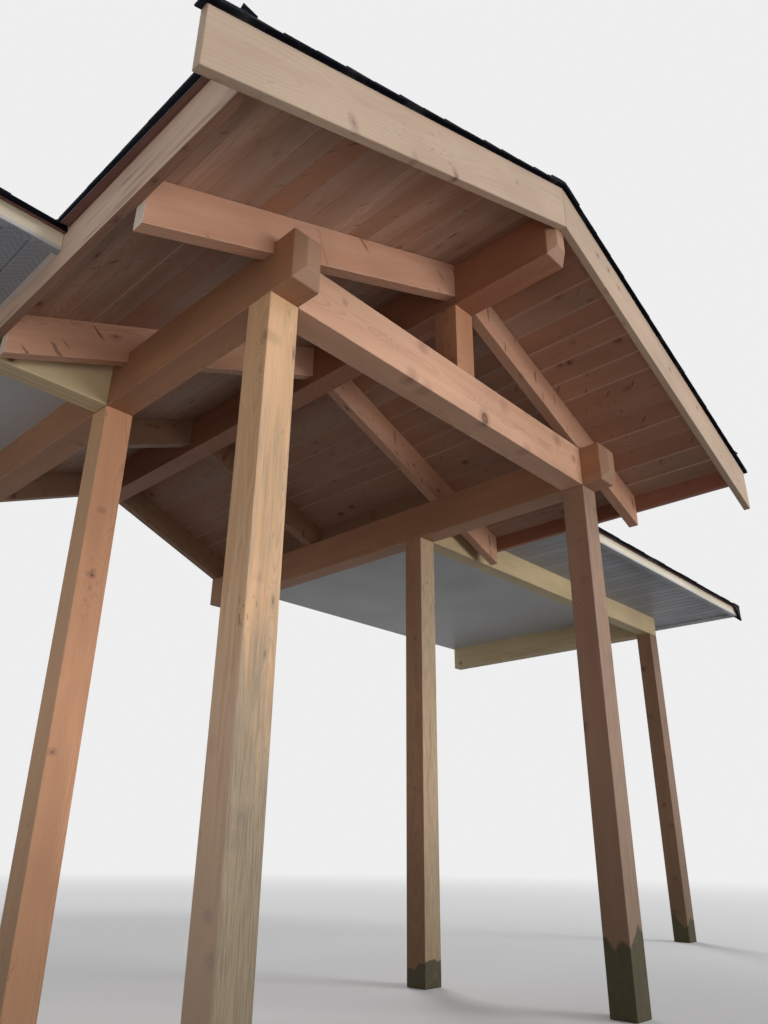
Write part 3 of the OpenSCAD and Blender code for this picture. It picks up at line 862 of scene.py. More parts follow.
def lay_caps(work, start, end, out, left, right, rng):
    """Lays bent caps over a ridge or hip, from its lower end up."""
    shingle = bpy.context.scene.canopy.shingle
    run = end - start
    total = run.length
    run.normalize()
    at = 0.0
    while at < total - 0.02:
        top = min(at + shingle.exposure + shingle.lap, total)
        width = shingle.cap_w * rng.uniform(0.96, 1.0)
        rings = [cap_ring(start + run * at, out, left, right, width, *CAP_FOOT),
                 cap_ring(start + run * top, out, left, right, width * 0.97, *CAP_HEAD)]
        work.solid(rings, rng.random())
        at += shingle.exposure


def shingle_material():
    """Mineral granules on bitumen, a little different on each tab."""
    name = "shingles"
    if name in bpy.data.materials:
        return bpy.data.materials[name]
    shingle = bpy.context.scene.canopy.shingle
    material, graph, surface = new_material(name)
    place = graph.place()
    tone = graph.attribute("tone")
    grains = graph.add("TexVoronoi", {"Vector": place, "Scale": 620.0})
    pick = graph.add("SeparateColor", {0: grains.outputs["Color"]}).outputs[0]
    blend = graph.noise(place, (14, 14, 14), 3.0)
    level = graph.times(graph.plus(tone, blend), 0.32)
    bright = graph.step(pick, graph.minus(0.95, level), 1.0)
    color = graph.mix(bright, shingle.dark, shingle.light)
    color = graph.mix(graph.times(tone, 0.16), color, shingle.light)
    height = graph.minus(1.0, grains.outputs["Distance"])
    rough = graph.scaled(blend, 0.15, 0.8)
    finish_surface(graph, surface, color, rough, height, depth=0.0009, gloss=0.2)
    return material


def sheet_material(name, coat, dirt, holes=None, marked=None, dark=None):
    """Coated sheet or paint. holes is the gap and strip of its slots, marked and dark its other colours."""
    if name in bpy.data.materials:
        return bpy.data.materials[name]
    material, graph, surface = new_material(name)
    place = graph.place()
    mark = graph.attribute("mark")
    if dark:
        coat = graph.mix(graph.attribute("tone"), coat, dark)
    if marked:
        coat = graph.mix(mark, coat, marked)
    coated = graph.group(coated_sheet, {"Color": coat, "Vector": place, "Dirt": dirt})
    color, height = coated["Color"], coated["Height"]
    if holes:
        # Slots that lean one way on one strip of the panel and the other way on the next, painted near
        # black as the shade seen through them
        gap, strip = holes
        across, along, _ = graph.split(graph.attribute("grain", "Vector"))
        flip = graph.math("SIGN", graph.math("SINE", graph.times(across, pi / strip)))
        lean = graph.times(along, flip)
        thin = graph.math("FRACT", graph.over(graph.minus(across, lean), gap))
        long = graph.math("FRACT", graph.over(graph.plus(across, lean), gap * 2.6))
        thin, long = (graph.math("ABSOLUTE", graph.minus(part, 0.5)) for part in (thin, long))
        slot_shade = graph.times(graph.step(thin, 0.20, 0.12), graph.step(long, 0.40, 0.34))
        slot_shade = graph.times(slot_shade, mark)
        color = graph.mix(graph.times(slot_shade, 0.6), color, (0.02, 0.02, 0.02))
        height = graph.minus(height, graph.times(slot_shade, 2.0))
    finish_surface(graph, surface, color, coated["Roughness"], height, depth=0.0003,
                   gloss=0.0 if dark else 0.3)
    return material


# Pieces

class PieceOperator:
    """What all operators share."""
    bl_options = {"REGISTER", "UNDO"}


class CANOPY_OT_posts(PieceOperator, bpy.types.Operator):
    """Finish the six square posts"""
    bl_idname = "canopy.posts"
    bl_label = "Posts"

    def execute(self, context):
        timber = context.scene.canopy.timber
        peach, honey = (timber.peach, timber.fir_late), (timber.honey, timber.honey_late)
        tan, rose = (timber.tan, timber.tan_late), (timber.rose, timber.rose_late)
        umber = (timber.umber, timber.umber_late)
        outward = (-1.0, 0.0, 0.0)
        # Woods, how high the damp climbs, and the weathered faces: where, how far at top and foot, colour.
        # The outward rows of the two left posts are painted light, paler towards the foot on the front
        # post. The front post's front greys and darkens towards its foot, which is weathering together with
        # painted shade
        posts = {
            "front_post_left": (honey, 1.2, ((FRONT, 0.3, 1.4, timber.smoke),
                                             (outward, 0.0, 1.45, timber.shell))),
            "front_post_right": (rose, 1.6, ((FRONT, 1.05, 1.3, timber.blush),)),
            "middle_post_left": (peach, 0.5, ((outward, 1.25, 1.25, timber.honey),)),
            "middle_post_right": (tan, 0.75, ((FRONT, 1.2, 1.2, timber.wheat),)),
            "wing_post_left": (tan, 1.0, ((FRONT, 0.4, 0.9, timber.grey),)),
            "wing_post_right": (umber, 1.0, ((FRONT, 1.0, 1.2, timber.blush),)),
        }
        for node, (woods, climb, faces) in posts.items():
            look = {"Saw marks": 0.5, "Figure": 0.45}
            if node == "middle_post_left":
                look.update({"Figure": 0.3, "Knot size": 0.007})
            straight_timber(node, ALONG_Z, woods, weather=faces, specks=0.6, look=look,
                            foot=timber.stain_h * climb)
        return {"FINISHED"}


class CANOPY_OT_beams(PieceOperator, bpy.types.Operator):
    """Finish the eave beams, the tie beam, the king post and the ridge beam"""
    bl_idname = "canopy.beams"
    bl_label = "Beams"

    def execute(self, context):
        timber = context.scene.canopy.timber
        tie, beam = (timber.tie, timber.fir_late), (timber.beam, timber.beam_late)
        ridge, king = (timber.ridge, timber.ridge_late), (timber.king, timber.ridge)
        plain = {"Figure": 0.34, "Knot size": 0.010, "Knot gap": 0.16, "End grain": timber.nose}
        for side in SIDES:
            straight_timber(f"eave_beam_{side}", ALONG_Y, beam, look=plain)
        straight_timber("ridge_beam", ALONG_Y, ridge, look=plain)
        # The tie beam's pith lies behind its face, so its knots show round
        straight_timber("tie_beam", ALONG_X, tie, look={
            "Figure": 0.30, "Knot size": 0.019, "Knot gap": 0.125, "Pith": (0.01, 0.06, 0.0)})
        straight_timber("king_post", ALONG_Z, king, look={"Figure": 0.4})
        return {"FINISHED"}


class CANOPY_OT_rafters(PieceOperator, bpy.types.Operator):
    """Finish the rafters and the blocks between them"""
    bl_idname = "canopy.rafters"
    bl_label = "Rafters"

    def execute(self, context):
        timber = context.scene.canopy.timber
        fir, umber = (timber.fir, timber.fir_late), (timber.umber, timber.umber_late)
        for name, side in SIDES.items():
            for place, woods in (("front", fir), ("middle", fir), ("rear", umber), ("wall", umber)):
                sizes = {"Gap": 0.25 if place == "front" else 0.33, "Half length": 0.045,
                         "Half width": 0.0095, "Chance": 0.75}
                sloping_timber(f"{place}_rafter_{name}", side, PEAK_Z, RAFTER_H, woods,
                               look={"Figure": 0.45, "End grain": timber.sealed}, spikes=(FRONT, sizes))
            straight_timber(f"eave_blocks_{name}", ALONG_Y, umber)
        return {"FINISHED"}


class CANOPY_OT_trim_boards(PieceOperator, bpy.types.Operator):
    """Finish the barge boards and the portico's eave fascias"""
    bl_idname = "canopy.trim_boards"
    bl_label = "Trim boards"

    def execute(self, context):
        timber = context.scene.canopy.timber
        cream = (timber.cream, timber.cream_late)
        soft = {"Figure": 0.4, "Patches": 0.55, "Knot gap": 0.1, "Knot size": 0.010, "Wear": 0.25,
                "Ring gap": 0.011, "End grain": timber.cream, "Pith": (0.03, 0.07, 0.0)}
        # The darker, redder wood inside and under the eave fascias is painted shade; the outer face is
        # bleached
        inside = {"left": (timber.shaded_left_fascia, timber.shaded_left_fascia_late), "right": (timber.inner, timber.inner_late)}
        for name, side in SIDES.items():
            sloping_timber(f"barge_board_{name}", side, SHINGLE_Z, BARGE_H, cream, look=soft, specks=0.5)
            straight_timber(f"eave_fascia_{name}", ALONG_Y, inside[name], look={**soft, "Wear": 0.0},
                            weather=(((side, 0.0, 0.0), 1.15, 1.15, timber.outer),))
        return {"FINISHED"}


class CANOPY_OT_decking(PieceOperator, bpy.types.Operator):
    """Lay the tongue and groove boards under the portico roof"""
    bl_idname = "canopy.decking"
    bl_label = "Decking"

    def material(self, context):
        """Boards of mixed tones, with fresh wood in the V joints."""
        timber, decking = context.scene.canopy.timber, context.scene.canopy.decking
        material, graph, surface = new_material("decking_boards")
        tone, place = graph.attribute("tone"), graph.attribute("grain", "Vector")
        # A second tone from the first, which says how grey a board is
        shuffled = graph.math("FRACT", graph.times(tone, 7.3))
        early = graph.mix(tone, decking.dark, decking.pale)
        early = graph.mix(graph.step(shuffled, 0.55, 0.8, 0.0, 0.6), early, decking.dull)
        sockets = wood_sockets(timber, random.Random("decking"))
        sockets.update({
            "Vector": place, "Grain": (0.0, 1.0, 0.0), "Shift": (0.0, 0.0, 0.0), "Pith": (0.01, 0.11, 0.0),
            "Wear": 0.0, "Figure": 0.28, "Patches": 0.6,
            "Knot gap": 0.13, "Knot size": 0.015, "Knot spread": 0.13,
            "Early wood": early, "Late wood": decking.late, "End grain": decking.pale,
        })
        wood = graph.group(sawn_timber, sockets)
        color = graph.lay_over(spike_knots, wood["Color"], place, {
            "Gap": 0.18, "Half length": 0.02, "Half width": 0.007, "Lean": 0.8, "Chance": 0.35,
            "Knot": timber.knot})
        color = graph.lay_over(dark_specks, color, place, {"Amount": 0.5, "Speck": timber.speck})
        # The wide V chamfers are paler: fresh wood together with a painted highlight
        color = graph.mix(graph.attribute("mark"), color, decking.groove)
        finish_surface(graph, surface, color, wood["Roughness"], wood["Height"], depth=0.0006)
        return material

    def execute(self, context):
        decking = context.scene.canopy.decking
        material = self.material(context)
        tilt_sin, tilt_cos = sin(PORTICO_TILT), cos(PORTICO_TILT)
        front_y, full_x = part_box("decking_right")[0].y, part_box("decking_right")[1].x
        # Inside this line the boards run back to the wall, and past it they end over the wing's front beam
        rear_x = (PEAK_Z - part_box("eave_beam_right")[1].z - 0.04) / PORTICO_SLOPE
        for name, side in SIDES.items():
            rng = random.Random(f"decking {name}")
            work = Work()
            # The boards on the right are darker, and more of them have drawn apart
            open_share = decking.wide_share * (2.0 if side > 0 else 1.0)
            palest = 0.2 if side > 0 else 1.0
            # The first board starts past the ridge, and is cut there
            near = -0.03
            far = decking.first + decking.board
            left = decking.chamfer
            while near < full_x / tilt_cos:
                right = decking.wide if rng.random() < open_share else decking.chamfer
                start, end = near + decking.joint / 2, far - decking.joint / 2
                outline = [(start, left), (start + left, 0.0), (end - right, 0.0), (end, right),
                           (end, decking.thickness), (start, decking.thickness)]
                fresh_and_highlit = [face for face, depth in ((0, left), (2, right)) if depth > decking.chamfer]
                settle = rng.uniform(0.0002, 0.0007)
                shift = Vector((rng.uniform(-0.03, 0.03), rng.uniform(-0.02, 0.03), rng.uniform(-50, 50)))
                mid = (near + far) / 2

                def grain(point):
                    down = (abs(point.x) + (PEAK_Z - point.z) * PORTICO_SLOPE) * tilt_cos
                    up = point.z - PEAK_Z + PORTICO_SLOPE * abs(point.x)
                    return Vector((down - mid, up, point.y)) + shift

                def place(across, up, along):
                    x = across * tilt_cos + (up + settle) * tilt_sin
                    return mirrored(side, x, along, PEAK_Z - across * tilt_sin + (up + settle) * tilt_cos)

                back_y = 0.0 if far * tilt_cos < rear_x else BEAM_FACE_Y
                rings = [[place(a, h, y) for a, h in outline] for y in (front_y, back_y)]
                work.solid(rings, palest * rng.random(), fresh_and_highlit, grain)
                near, far, left = far, far + decking.board, right
            work.cut(Vector((0.0, 0.0, 0.0)), Vector((-side, 0.0, 0.0)))
            work.cut(Vector((side * full_x, 0.0, 0.0)), Vector((side, 0.0, 0.0)))
            work.piece(f"decking_boards_{name}", "decking_boards", material, f"decking_{name}")
        return {"FINISHED"}


class CANOPY_OT_portico_shingles(PieceOperator, bpy.types.Operator):
    """Lay the shingles of the portico roof"""
    bl_idname = "canopy.portico_shingles"
    bl_label = "Portico shingles"

    def execute(self, context):
        reach = (FASCIA_X + SHINGLE_EAVE) / cos(PORTICO_TILT)
        tail = (RAKE_X - FASCIA_X - SHINGLE_EAVE) / cos(PORTICO_TILT)
        edge_y = RAKE_Y + 0.001
        for name, side in SIDES.items():
            rng = random.Random(f"portico shingles {name}")
            work = Work()
            plane = portico_plane(side)
            gutter = valley(side, 0.06)
            lay_sheet(work, plane, 0.0, reach, RAKE_Y + 0.003, 0.0, 0.0, FELT_T, 0.1)
            lay_courses(work, plane, 0.0, 0.0, reach, edge_y, 0.0, rng, (gutter,))
            work.cut(*gutter)
            # Two strips over the tail of the barge board, and the starter's lifted corner
            lay_sheet(work, plane, -tail, 0.0, RAKE_Y + 0.002, BARGE_BACK_Y, 0.0, 0.0055, 0.3)
            lay_sheet(work, plane, -tail + 0.01, 0.004, edge_y, BARGE_BACK_Y - 0.004, 0.0057, 0.0098, 0.6)
            lift = [plane.at(0.035, edge_y, 0.011), plane.at(-0.012, edge_y, 0.034),
                    plane.at(-0.002, RAKE_Y + 0.13, 0.011), plane.at(0.05, RAKE_Y + 0.12, 0.011)]
            work.solid([lift, [p + plane.out * 0.0035 for p in lift]], 0.4)
            work.piece(f"portico_shingles_{name}", "shingle", shingle_material(), f"shingles_{name}")
        return {"FINISHED"}


class CANOPY_OT_ridge_caps(PieceOperator, bpy.types.Operator):
    """Lay the caps on the portico's ridge"""
    bl_idname = "canopy.ridge_caps"
    bl_label = "Ridge caps"

    def execute(self, context):
        work = Work()
        tilt_sin, tilt_cos = sin(PORTICO_TILT), cos(PORTICO_TILT)
        z = SHINGLE_Z + context.scene.canopy.shingle.thick / tilt_cos
        lay_caps(work, Vector((0, RAKE_Y, z)), Vector((0, 0, z)), Vector((0, 0, 1)),
                 Vector((-tilt_cos, 0, -tilt_sin)), Vector((tilt_cos, 0, -tilt_sin)),
                 random.Random("ridge caps"))
        work.piece("ridge_caps", "shingle", shingle_material(), "ridge_cap")
        return {"FINISHED"}


class CANOPY_OT_drip_edges(PieceOperator, bpy.types.Operator):
    """Fold the drip edges along the eaves and rakes"""
    bl_idname = "canopy.drip_edges"
    bl_label = "Drip edges"

    def execute(self, context):
        metal = context.scene.canopy.metal
        material = sheet_material("drip edge", metal.drip, 0.08, marked=metal.hem, dark=metal.nose)
        eave_z = SHINGLE_Z - PORTICO_SLOPE * FASCIA_X
        # Each fold runs through points out from the board that it covers, and up from the board's top
        eave = folded_sheet([(CLEAR, -0.024), (CLEAR, -0.016), (0.032, -0.0085), (0.036, -0.0105),
                             (0.036, -CLEAR), (0.0, -CLEAR)], metal.sheet)
        rake = folded_sheet([(CLEAR, -0.012), (CLEAR, -0.0055), (0.0165, -0.0045), (0.0165, -CLEAR),
                             (0.0, -CLEAR)], metal.sheet)
        # On the wings a sheet lines the overhang, and a nose covers the ends of the roof boards. The nose
        # is painted near black as shade, and the lining a little darker
        lining = folded_sheet([(0.0, -0.0018), (0.0262, -0.0018)], metal.sheet)
        nose = folded_sheet([(0.0275, -0.0035), (0.0275, 0.0185)], metal.sheet)
        for name, side in SIDES.items():
            work = Work()

            def over_eave(out, up, run):
                # The sheet draws back under the shingles towards the front
                out *= 0.55 if run == BARGE_BACK_Y else 1.0
                return mirrored(side, FASCIA_X + out, run, eave_z - PORTICO_SLOPE * max(out, 0.0) + up)

            def over_wing_front(out, up, run):
                return mirrored(side, run, WING_FACE_Y - out, under_wing_roof(out) + up)

            def over_wing_end(out, up, run):
                return mirrored(side, WING_FACE_X + out, run, under_wing_roof(out) + up)

            def over_rake(out, up, run):
                return mirrored(side, run, BARGE_Y - out, SHINGLE_Z - PORTICO_SLOPE * run + up)

            # The eave's hem, side 3, takes the paler coat as a painted highlight
            extrude(work, eave, over_eave, BARGE_BACK_Y, WING_EDGE_Y - 0.004, 0.0, (3,))
            for sheet, tone in ((lining, 0.1), (nose, 1.0)):
                extrude(work, sheet, over_wing_front, FASCIA_X + 0.002, WING_FACE_X + 0.0265, tone)
                extrude(work, sheet, over_wing_end, WING_FACE_Y - 0.0255, 0.0, tone)
            # The rake's drip edge takes the same near black, painted shade under the shingle edge
            extrude(work, rake, over_rake, 0.0, BARGE_X + 0.008, 1.0)
            work.piece(f"drip_edge_{name}", "soffit_panel", material)
        return {"FINISHED"}


class CANOPY_OT_wing_lumber(PieceOperator, bpy.types.Operator):
    """Finish the wings' beams and fascias"""
    bl_idname = "canopy.wing_lumber"
    bl_label = "Wing beams and fascias"

    def execute(self, context):
        timber = context.scene.canopy.timber
        spruce, pale = (timber.spruce, timber.spruce_late), (timber.board, timber.spruce)
        beam = {"Figure": 0.35, "Knot gap": 0.2, "Knot size": 0.015, "Ring gap": 0.007}
        board = {"Figure": 0.3, "Knot gap": 0.22, "Knot size": 0.010, "Wear": 0.2}
        low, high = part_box("wing_front_beam_right")
        ply = (high.y - low.y) / 3
        for name in SIDES:
            straight_timber(f"wing_front_beam_{name}", ALONG_X, spruce, look=beam, ply=(1, ply))
            straight_timber(f"wing_end_beam_{name}", ALONG_Y, spruce, look=beam, ply=(0, ply))
            straight_timber(f"wing_front_fascia_{name}", ALONG_X, pale, look=board)
            straight_timber(f"wing_end_fascia_{name}", ALONG_Y, pale, look=board)
        return {"FINISHED"}


class CANOPY_OT_ceilings(PieceOperator, bpy.types.Operator):
    """Paint the wings' flat ceilings"""
    bl_idname = "canopy.ceilings"
    bl_label = "Wing ceilings"

    def execute(self, context):
        metal = context.scene.canopy.metal
        for name in SIDES:
            dress(f"wing_ceiling_{name}", sheet_material("ceiling paint", metal.ceiling, 0.05), 0.0)
        return {"FINISHED"}


class CANOPY_OT_soffits(PieceOperator, bpy.types.Operator):
    """Fit the ribbed soffit panels and their edge trim"""
    bl_idname = "canopy.soffits"
    bl_label = "Wing soffits"

    def lay_ribs(self, work, ribs, layer, runs, place, grain):
        """Lays a sheet with a groove at each rib. A layer is two heights and its share of a full groove."""
        metal = bpy.context.scene.canopy.metal
        (start, end), (low, high, depth) = ribs, layer
        outline, at = [(start, low)], start + metal.rib
        while at < end - metal.rib_w:
            outline += [(at - metal.rib_w, low), (at - metal.rib_w * 0.4, low + metal.rib_d * depth),
                        (at + metal.rib_w, low)]
            at += metal.rib
        outline += [(end, low), (end, high), (start, high)]
        # Two of three flats have slots
        flats = [i for i in range(0, len(outline) - 3, 3) if (i // 3) % 3 != 2]
        work.solid([[place(rib, z, run) for rib, z in outline] for run in runs], 0.0, flats, grain)

    def execute(self, context):
        metal = context.scene.canopy.metal
        panel = sheet_material("soffit panel", metal.soffit, 0.08, holes=(0.013, metal.rib / 2))
        trim = sheet_material("soffit trim", metal.trim, 0.05, marked=metal.soffit)
        low, high = SOFFIT_LOW, SOFFIT_HIGH
        under = WING_FASCIA_Z - CLEAR - metal.sheet
        # The panel between beam and fascia, and the strip of it under the fascia
        wide, strip = (low.z, high.z, 1.0), (under - metal.sheet, under, 0.1)
        strip_x, strip_y = WING_FACE_X - metal.edge, WING_FACE_Y + metal.edge
        for name, side in SIDES.items():
            inner = Vector((side * BEAM_END_X, BEAM_FACE_Y, 0.0))
            outer = Vector((side * high.x, low.y, 0.0))
            mitre = Vector((-(outer - inner).y, (outer - inner).x, 0.0)).normalized() * -side
            front, end = Work(), Work()
            for ribs, layer, runs in (((low.x, high.x), wide, (low.y, BEAM_FACE_Y)),
                                      ((low.x, strip_x), strip, (strip_y, low.y))):
                self.lay_ribs(front, ribs, layer, runs, lambda x, z, y: mirrored(side, x, y, z),
                              lambda p: Vector((abs(p.x), p.y, 0.0)))
            front.cut(inner, -mitre)
            for layer, runs in ((wide, (BEAM_END_X, high.x)), (strip, (high.x, strip_x))):
                self.lay_ribs(end, (low.y, 0.0), layer, runs, lambda y, z, x: mirrored(side, x, y, z),
                              lambda p: Vector((p.y, p.x, 0.0)))
            end.cut(inner, mitre)
            front.piece(f"front_soffit_{name}", "soffit_panel", panel, f"wing_soffit_{name}")
            end.piece(f"end_soffit_{name}", "soffit_panel", panel, f"wing_soffit_{name}")
            self.fit_trim(name, side, trim, metal)
        return {"FINISHED"}

    def fit_trim(self, name, side, material, metal):
        """Folds the edge trim under the fascias and along the portico."""
        low = SOFFIT_LOW
        work = Work()
        back = SOFFIT_HIGH.x - WING_FACE_X
        below, under = WING_FASCIA_Z - CLEAR, low.z - CLEAR
        hook = folded_sheet([(CLEAR, WING_FASCIA_Z + metal.face), (CLEAR, below), (-metal.edge, below),
                             (back - CLEAR, below), (back - CLEAR, under), (back - metal.lip, under)],
                            metal.sheet)
        # Under the fascia the trim is as the soffit, past a bright edge
        extrude(work, hook, lambda out, z, run: mirrored(side, run, WING_FACE_Y - out, z),
                FASCIA_X + 0.001, WING_FACE_X + CLEAR, 0.0, (2,))
        extrude(work, hook, lambda out, z, run: mirrored(side, WING_FACE_X + out, run, z),
                WING_FACE_Y - CLEAR, 0.0, 0.0, (2,))
        top = low.z - TRIM_GAP
        flat = [(0.0, top - metal.sheet), (metal.lip, top - metal.sheet), (metal.lip, top), (0.0, top)]
        extrude(work, flat, lambda out, z, run: mirrored(side, FASCIA_X + out, run, z), low.y, BEAM_FACE_Y)
        work.piece(f"soffit_trim_{name}", "soffit_panel", material)


class CANOPY_OT_wing_roofs(PieceOperator, bpy.types.Operator):
    """Lay the wings' roof boards, shingles and hip caps"""
    bl_idname = "canopy.wing_roofs"
    bl_label = "Wing roofs"

    def execute(self, context):
        timber, shingle = context.scene.canopy.timber, context.scene.canopy.shingle
        spruce = (timber.spruce, timber.spruce_late)
        board_t = WING_ROOF_T * cos(WING_TILT) - shingle.thick - 0.001
        boards = timber_material("roof_boards", (0, 0, 0), ALONG_X, (9, 9, 9), spruce,
                                 look={"Knot size": 0.02, "Figure": 0.7})
        reach = -WING_EDGE_Y / cos(WING_TILT)
        nose = (board_t + shingle.thick + 0.002) * WING_SLOPE
        for name, side in SIDES.items():
            node = f"wing_roof_{name}"
            front_plane, end_plane = wing_front_plane(side), wing_end_plane(side)
            # Each slope ends at the hip. The front one also ends at the portico and at the wall
            hip_point, hip_normal = hip(side)
            over_hip, before_hip = (hip_point, hip_normal), (hip_point, -hip_normal)
            gutter, gutter_normal = valley(side)
            deck_edge, _ = valley(side, 0.05)
            for part, plane, start, end, bounds in (
                    ("front", front_plane, 0.0, WING_EDGE_X - BOARD_BACK,
                     (over_hip, (deck_edge, -gutter_normal))),
                    ("end", end_plane, WING_EDGE_Y + BOARD_BACK, 0.0, (before_hip,))):
                work = Work()
                lay_sheet(work, plane, BOARD_BACK, reach, start, end, 0.0, board_t, 0.5)
                work.cut_all(bounds)
                work.piece(f"{part}_roof_boards_{name}", "roof_board", boards, node)
            rng = random.Random(f"wing shingles {name}")
            for part, plane, start, end, bounds in (
                    ("front", front_plane, 0.0, WING_EDGE_X, (over_hip, (gutter, -gutter_normal), WALL)),
                    ("end", end_plane, WING_EDGE_Y, 0.0, (before_hip,))):
                work = Work()
                lay_sheet(work, plane, nose, reach, start, end, board_t, board_t + FELT_T, 0.1)
                lay_courses(work, plane, board_t, nose, reach, start, end, rng, bounds)
                work.cut_all(bounds)
                work.piece(f"{part}_shingles_{name}", "shingle", shingle_material(), node)
            self.lay_hip(name, side, front_plane, end_plane, board_t + shingle.thick, rng)
        return {"FINISHED"}

    def lay_hip(self, name, side, front_plane, end_plane, height, rng):
        """Lays the caps of the hip, the lowest of which sags over the corner of the eaves."""
        corner = mirrored(side, WING_EDGE_X, WING_EDGE_Y, front_plane.origin.z)
        run = Vector((-side, 1.0, WING_SLOPE)).normalized()
        out = (front_plane.out + end_plane.out).normalized()
        left = run.cross(front_plane.out)
        left *= 1 if left.y < 0 else -1
        right = run.cross(end_plane.out)
        right *= 1 if right.x * side > 0 else -1
        start = corner + out * (height - 0.004) + run * HIP_START
        top = corner + run * (-WING_EDGE_Y / run.y) + out * (height - 0.004)
        work = Work()
        lay_caps(work, start, top, out, left, right, rng)
        work.cut(*WALL)
        # The lowest cap bends down over the corner: one leaf hangs on each eave, and they end in a point.
        # Its sections are given by how far they are up the hip or under the corner, and by half their width
        rings = []
        for along, width in ((0.30, 0.138), (HIP_START, 0.138), (0.10, 0.096)):
            point = corner + run * along + out * (height - 0.003)
            rings.append(cap_ring(point, out, left, right, width, -0.0005, 0.0035))
        away = Vector((side, -1.0, 0.0)).normalized()
        inward, back = Vector((-side, 0.0, 0.0)), Vector((0.0, 1.0, 0.0))
        for drop, width in ((0.0, 0.14), (0.02, 0.135), (0.06, 0.10), (0.11, 0.055), (0.15, 0.012)):
            point = corner + Vector((0.0, 0.0, height + 0.006 - drop))
            rings.append(cap_ring(point, away, inward, back, width, -0.0052, -0.0006))
        work.solid(rings, 0.3)
        work.piece(f"hip_caps_{name}", "shingle", shingle_material(), f"wing_roof_{name}")


class CANOPY_OT_backing(PieceOperator, bpy.types.Operator):
    """Finish the framing over the wings and the panel over the decking"""
    bl_idname = "canopy.backing"
    bl_label = "Framing and roof panels"

    def execute(self, context):
        timber = context.scene.canopy.timber
        spruce = (timber.spruce, timber.spruce_late)
        for name in SIDES:
            straight_timber(f"wing_framing_{name}", ALONG_Y, spruce,
                            look={"Saw marks": 0.8, "End grain": timber.spruce})
            straight_timber(f"roof_panel_{name}", ALONG_Y, spruce, look={"Figure": 0.8})
        return {"FINISHED"}


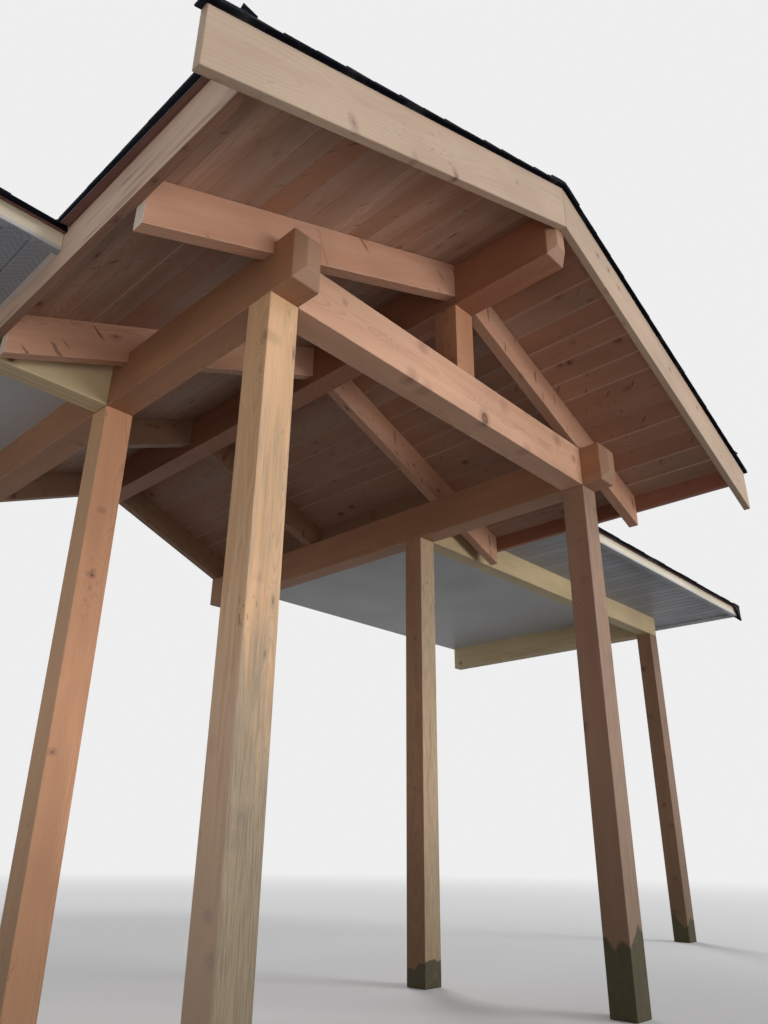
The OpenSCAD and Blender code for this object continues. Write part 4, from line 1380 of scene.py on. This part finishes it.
class CANOPY_OT_stage(PieceOperator, bpy.types.Operator):
    """Set the floor, the backdrop, the lamps and the camera"""
    bl_idname = "canopy.stage"
    bl_label = "Stage"

    def execute(self, context):
        stage = context.scene.canopy.stage
        context.scene.view_settings.view_transform = "Standard"
        self.floor(context, stage)
        self.world(context, stage)
        self.lamps(context, stage)
        self.camera(context, stage)
        return {"FINISHED"}

    def floor(self, context, stage):
        """A wide pale floor that fades into the backdrop."""
        mesh = bpy.data.meshes.new("floor")
        around = ((-1, -1), (1, -1), (1, 1), (-1, 1))
        corners = [(x * FLOOR_REACH, y * FLOOR_REACH, FOOT_Z) for x, y in around]
        mesh.from_pydata(corners, [], [(0, 1, 2, 3)])
        floor = bpy.data.objects.new("floor", mesh)
        context.scene.collection.objects.link(floor)
        material, graph, surface = new_material("floor")
        tree = material.node_tree
        tree.nodes.remove(surface)
        sink = tree.nodes["Material Output"]
        seen = graph.seen()
        pale = graph.add("BsdfDiffuse", {"Color": (stage.floor,) * 3}).outputs[0]
        plain = graph.add("BsdfDiffuse", {"Color": (stage.bounce,) * 3}).outputs[0]
        glow = graph.add("Emission", {"Color": (stage.backdrop,) * 3, "Strength": 1.0}).outputs[0]
        spot = graph.vector("MULTIPLY", graph.place(), (1, 1, 0))
        away = graph.step(graph.vector("LENGTH", spot), *FLOOR_FADE)
        far = graph.add("MixShader", {0: away, 1: pale, 2: glow}).outputs[0]
        graph.feed(sink.inputs["Surface"], graph.add("MixShader", {0: seen, 1: plain, 2: far}).outputs[0])
        mesh.materials.append(material)

    def world(self, context, stage):
        """Even light from all round, in front of a pale backdrop."""
        world = bpy.data.worlds.new("backdrop")
        context.scene.world = world
        world.use_nodes = True
        graph = Graph(world.node_tree)
        world.node_tree.nodes.clear()
        sink = world.node_tree.nodes.new("ShaderNodeOutputWorld")
        seen = graph.seen()
        rightward = graph.split(graph.add("TexCoord").outputs["Generated"])[0]
        strength = graph.scaled(rightward, stage.fill * stage.aside, stage.fill)
        light = graph.add("Background", {"Color": (0.97, 0.98, 1.0), "Strength": strength}).outputs[0]
        pale = graph.add("Background", {"Color": (stage.backdrop,) * 3, "Strength": 1.0}).outputs[0]
        graph.feed(sink.inputs["Surface"], graph.add("MixShader", {0: seen, 1: light, 2: pale}).outputs[0])

    def lamps(self, context, stage):
        """Two soft suns, and panels in front, low on the left and at the left that spare the floor."""
        spared = bpy.data.collections.new("spared by the panels")
        spared.objects.link(bpy.data.objects["floor"])
        spared.collection_objects[0].light_linking.link_state = "EXCLUDE"
        # Name, strength and direction, and a panel's size and place
        for name, energy, shine, panel in (
                ("key", stage.key, (-0.35, 0.75, -0.56), None),
                ("rim", stage.rim, (-0.45, -0.70, -0.55), None),
                ("panel", stage.panel, (-0.10, 0.99, 0.04), ((8.0, 2.4), (2.0, -12.0, FOOT_Z + 1.7))),
                ("glow", stage.glow, (0.1, 0.25, 1.0), ((4.0, 4.0), (-4.2, -5.2, FOOT_Z + 0.05))),
                ("side", stage.side, (1.0, 0.0, 0.03), ((5.0, 2.4), (-11.0, -3.0, FOOT_Z + 1.4)))):
            lamp = bpy.data.lights.new(name, "AREA" if panel else "SUN")
            lamp.energy = energy
            holder = bpy.data.objects.new(name, lamp)
            context.scene.collection.objects.link(holder)
            holder.rotation_mode = "QUATERNION"
            holder.rotation_quaternion = Vector(shine).to_track_quat("-Z", "Y")
            if panel:
                lamp.shape = "RECTANGLE"
                (lamp.size, lamp.size_y), holder.location = panel
                holder.visible_camera = False
                holder.light_linking.receiver_collection = spared
            else:
                lamp.angle = radians(24)

    def camera(self, context, stage):
        """Looks up at the canopy from low in front of it, on the left."""
        turn, tilt, roll = stage.aim
        ahead = Vector((sin(turn) * cos(tilt), cos(turn) * cos(tilt), sin(tilt)))
        right = Vector((cos(turn), -sin(turn), 0.0))
        up = right.cross(ahead)
        right, up = right * cos(roll) + up * sin(roll), up * cos(roll) - right * sin(roll)
        camera = bpy.data.cameras.new("camera")
        camera.sensor_width = 36.0
        camera.lens = stage.lens
        camera.clip_end = 400.0
        holder = bpy.data.objects.new("camera", camera)
        turned = Matrix((right, up, -ahead)).transposed().to_4x4()
        holder.matrix_world = Matrix.Translation(stage.station) @ turned
        context.scene.collection.objects.link(holder)
        context.scene.camera = holder


SETTINGS = (TimberSettings, DeckingSettings, ShingleSettings, MetalSettings, StageSettings, CanopySettings)
STEPS = (CANOPY_OT_posts, CANOPY_OT_beams, CANOPY_OT_rafters, CANOPY_OT_trim_boards, CANOPY_OT_decking,
         CANOPY_OT_portico_shingles, CANOPY_OT_ridge_caps, CANOPY_OT_drip_edges, CANOPY_OT_wing_lumber,
         CANOPY_OT_ceilings, CANOPY_OT_soffits, CANOPY_OT_wing_roofs, CANOPY_OT_backing, CANOPY_OT_stage)


class CANOPY_PT_pieces(bpy.types.Panel):
    """Builds the canopy piece by piece"""
    bl_idname = "CANOPY_PT_pieces"
    bl_label = "Porch canopy"
    bl_space_type = "VIEW_3D"
    bl_region_type = "UI"
    bl_category = "Canopy"

    def draw(self, context):
        for step in STEPS:
            self.layout.operator(step.bl_idname)
        for part in CanopySettings.__annotations__:
            box = self.layout.box()
            settings = getattr(context.scene.canopy, part)
            box.label(text=part.capitalize())
            for name in settings.__annotations__:
                box.prop(settings, name)


def register():
    for item in (*SETTINGS, *STEPS, CANOPY_PT_pieces):
        bpy.utils.register_class(item)
    bpy.types.Scene.canopy = PointerProperty(type=CanopySettings, name="Canopy", description="Porch canopy")


def unregister():
    del bpy.types.Scene.canopy
    for item in (CANOPY_PT_pieces, *reversed(STEPS), *reversed(SETTINGS)):
        bpy.utils.unregister_class(item)


def main():
    """Builds every piece and writes the boxes of the solids and of the finished model."""
    register()
    for step in STEPS:
        name = step.bl_idname.split(".")[1]
        if getattr(bpy.ops.canopy, name)() != {"FINISHED"}:
            raise RuntimeError(f"{step.bl_label} did not finish")


if __name__ == "__main__":
    main()
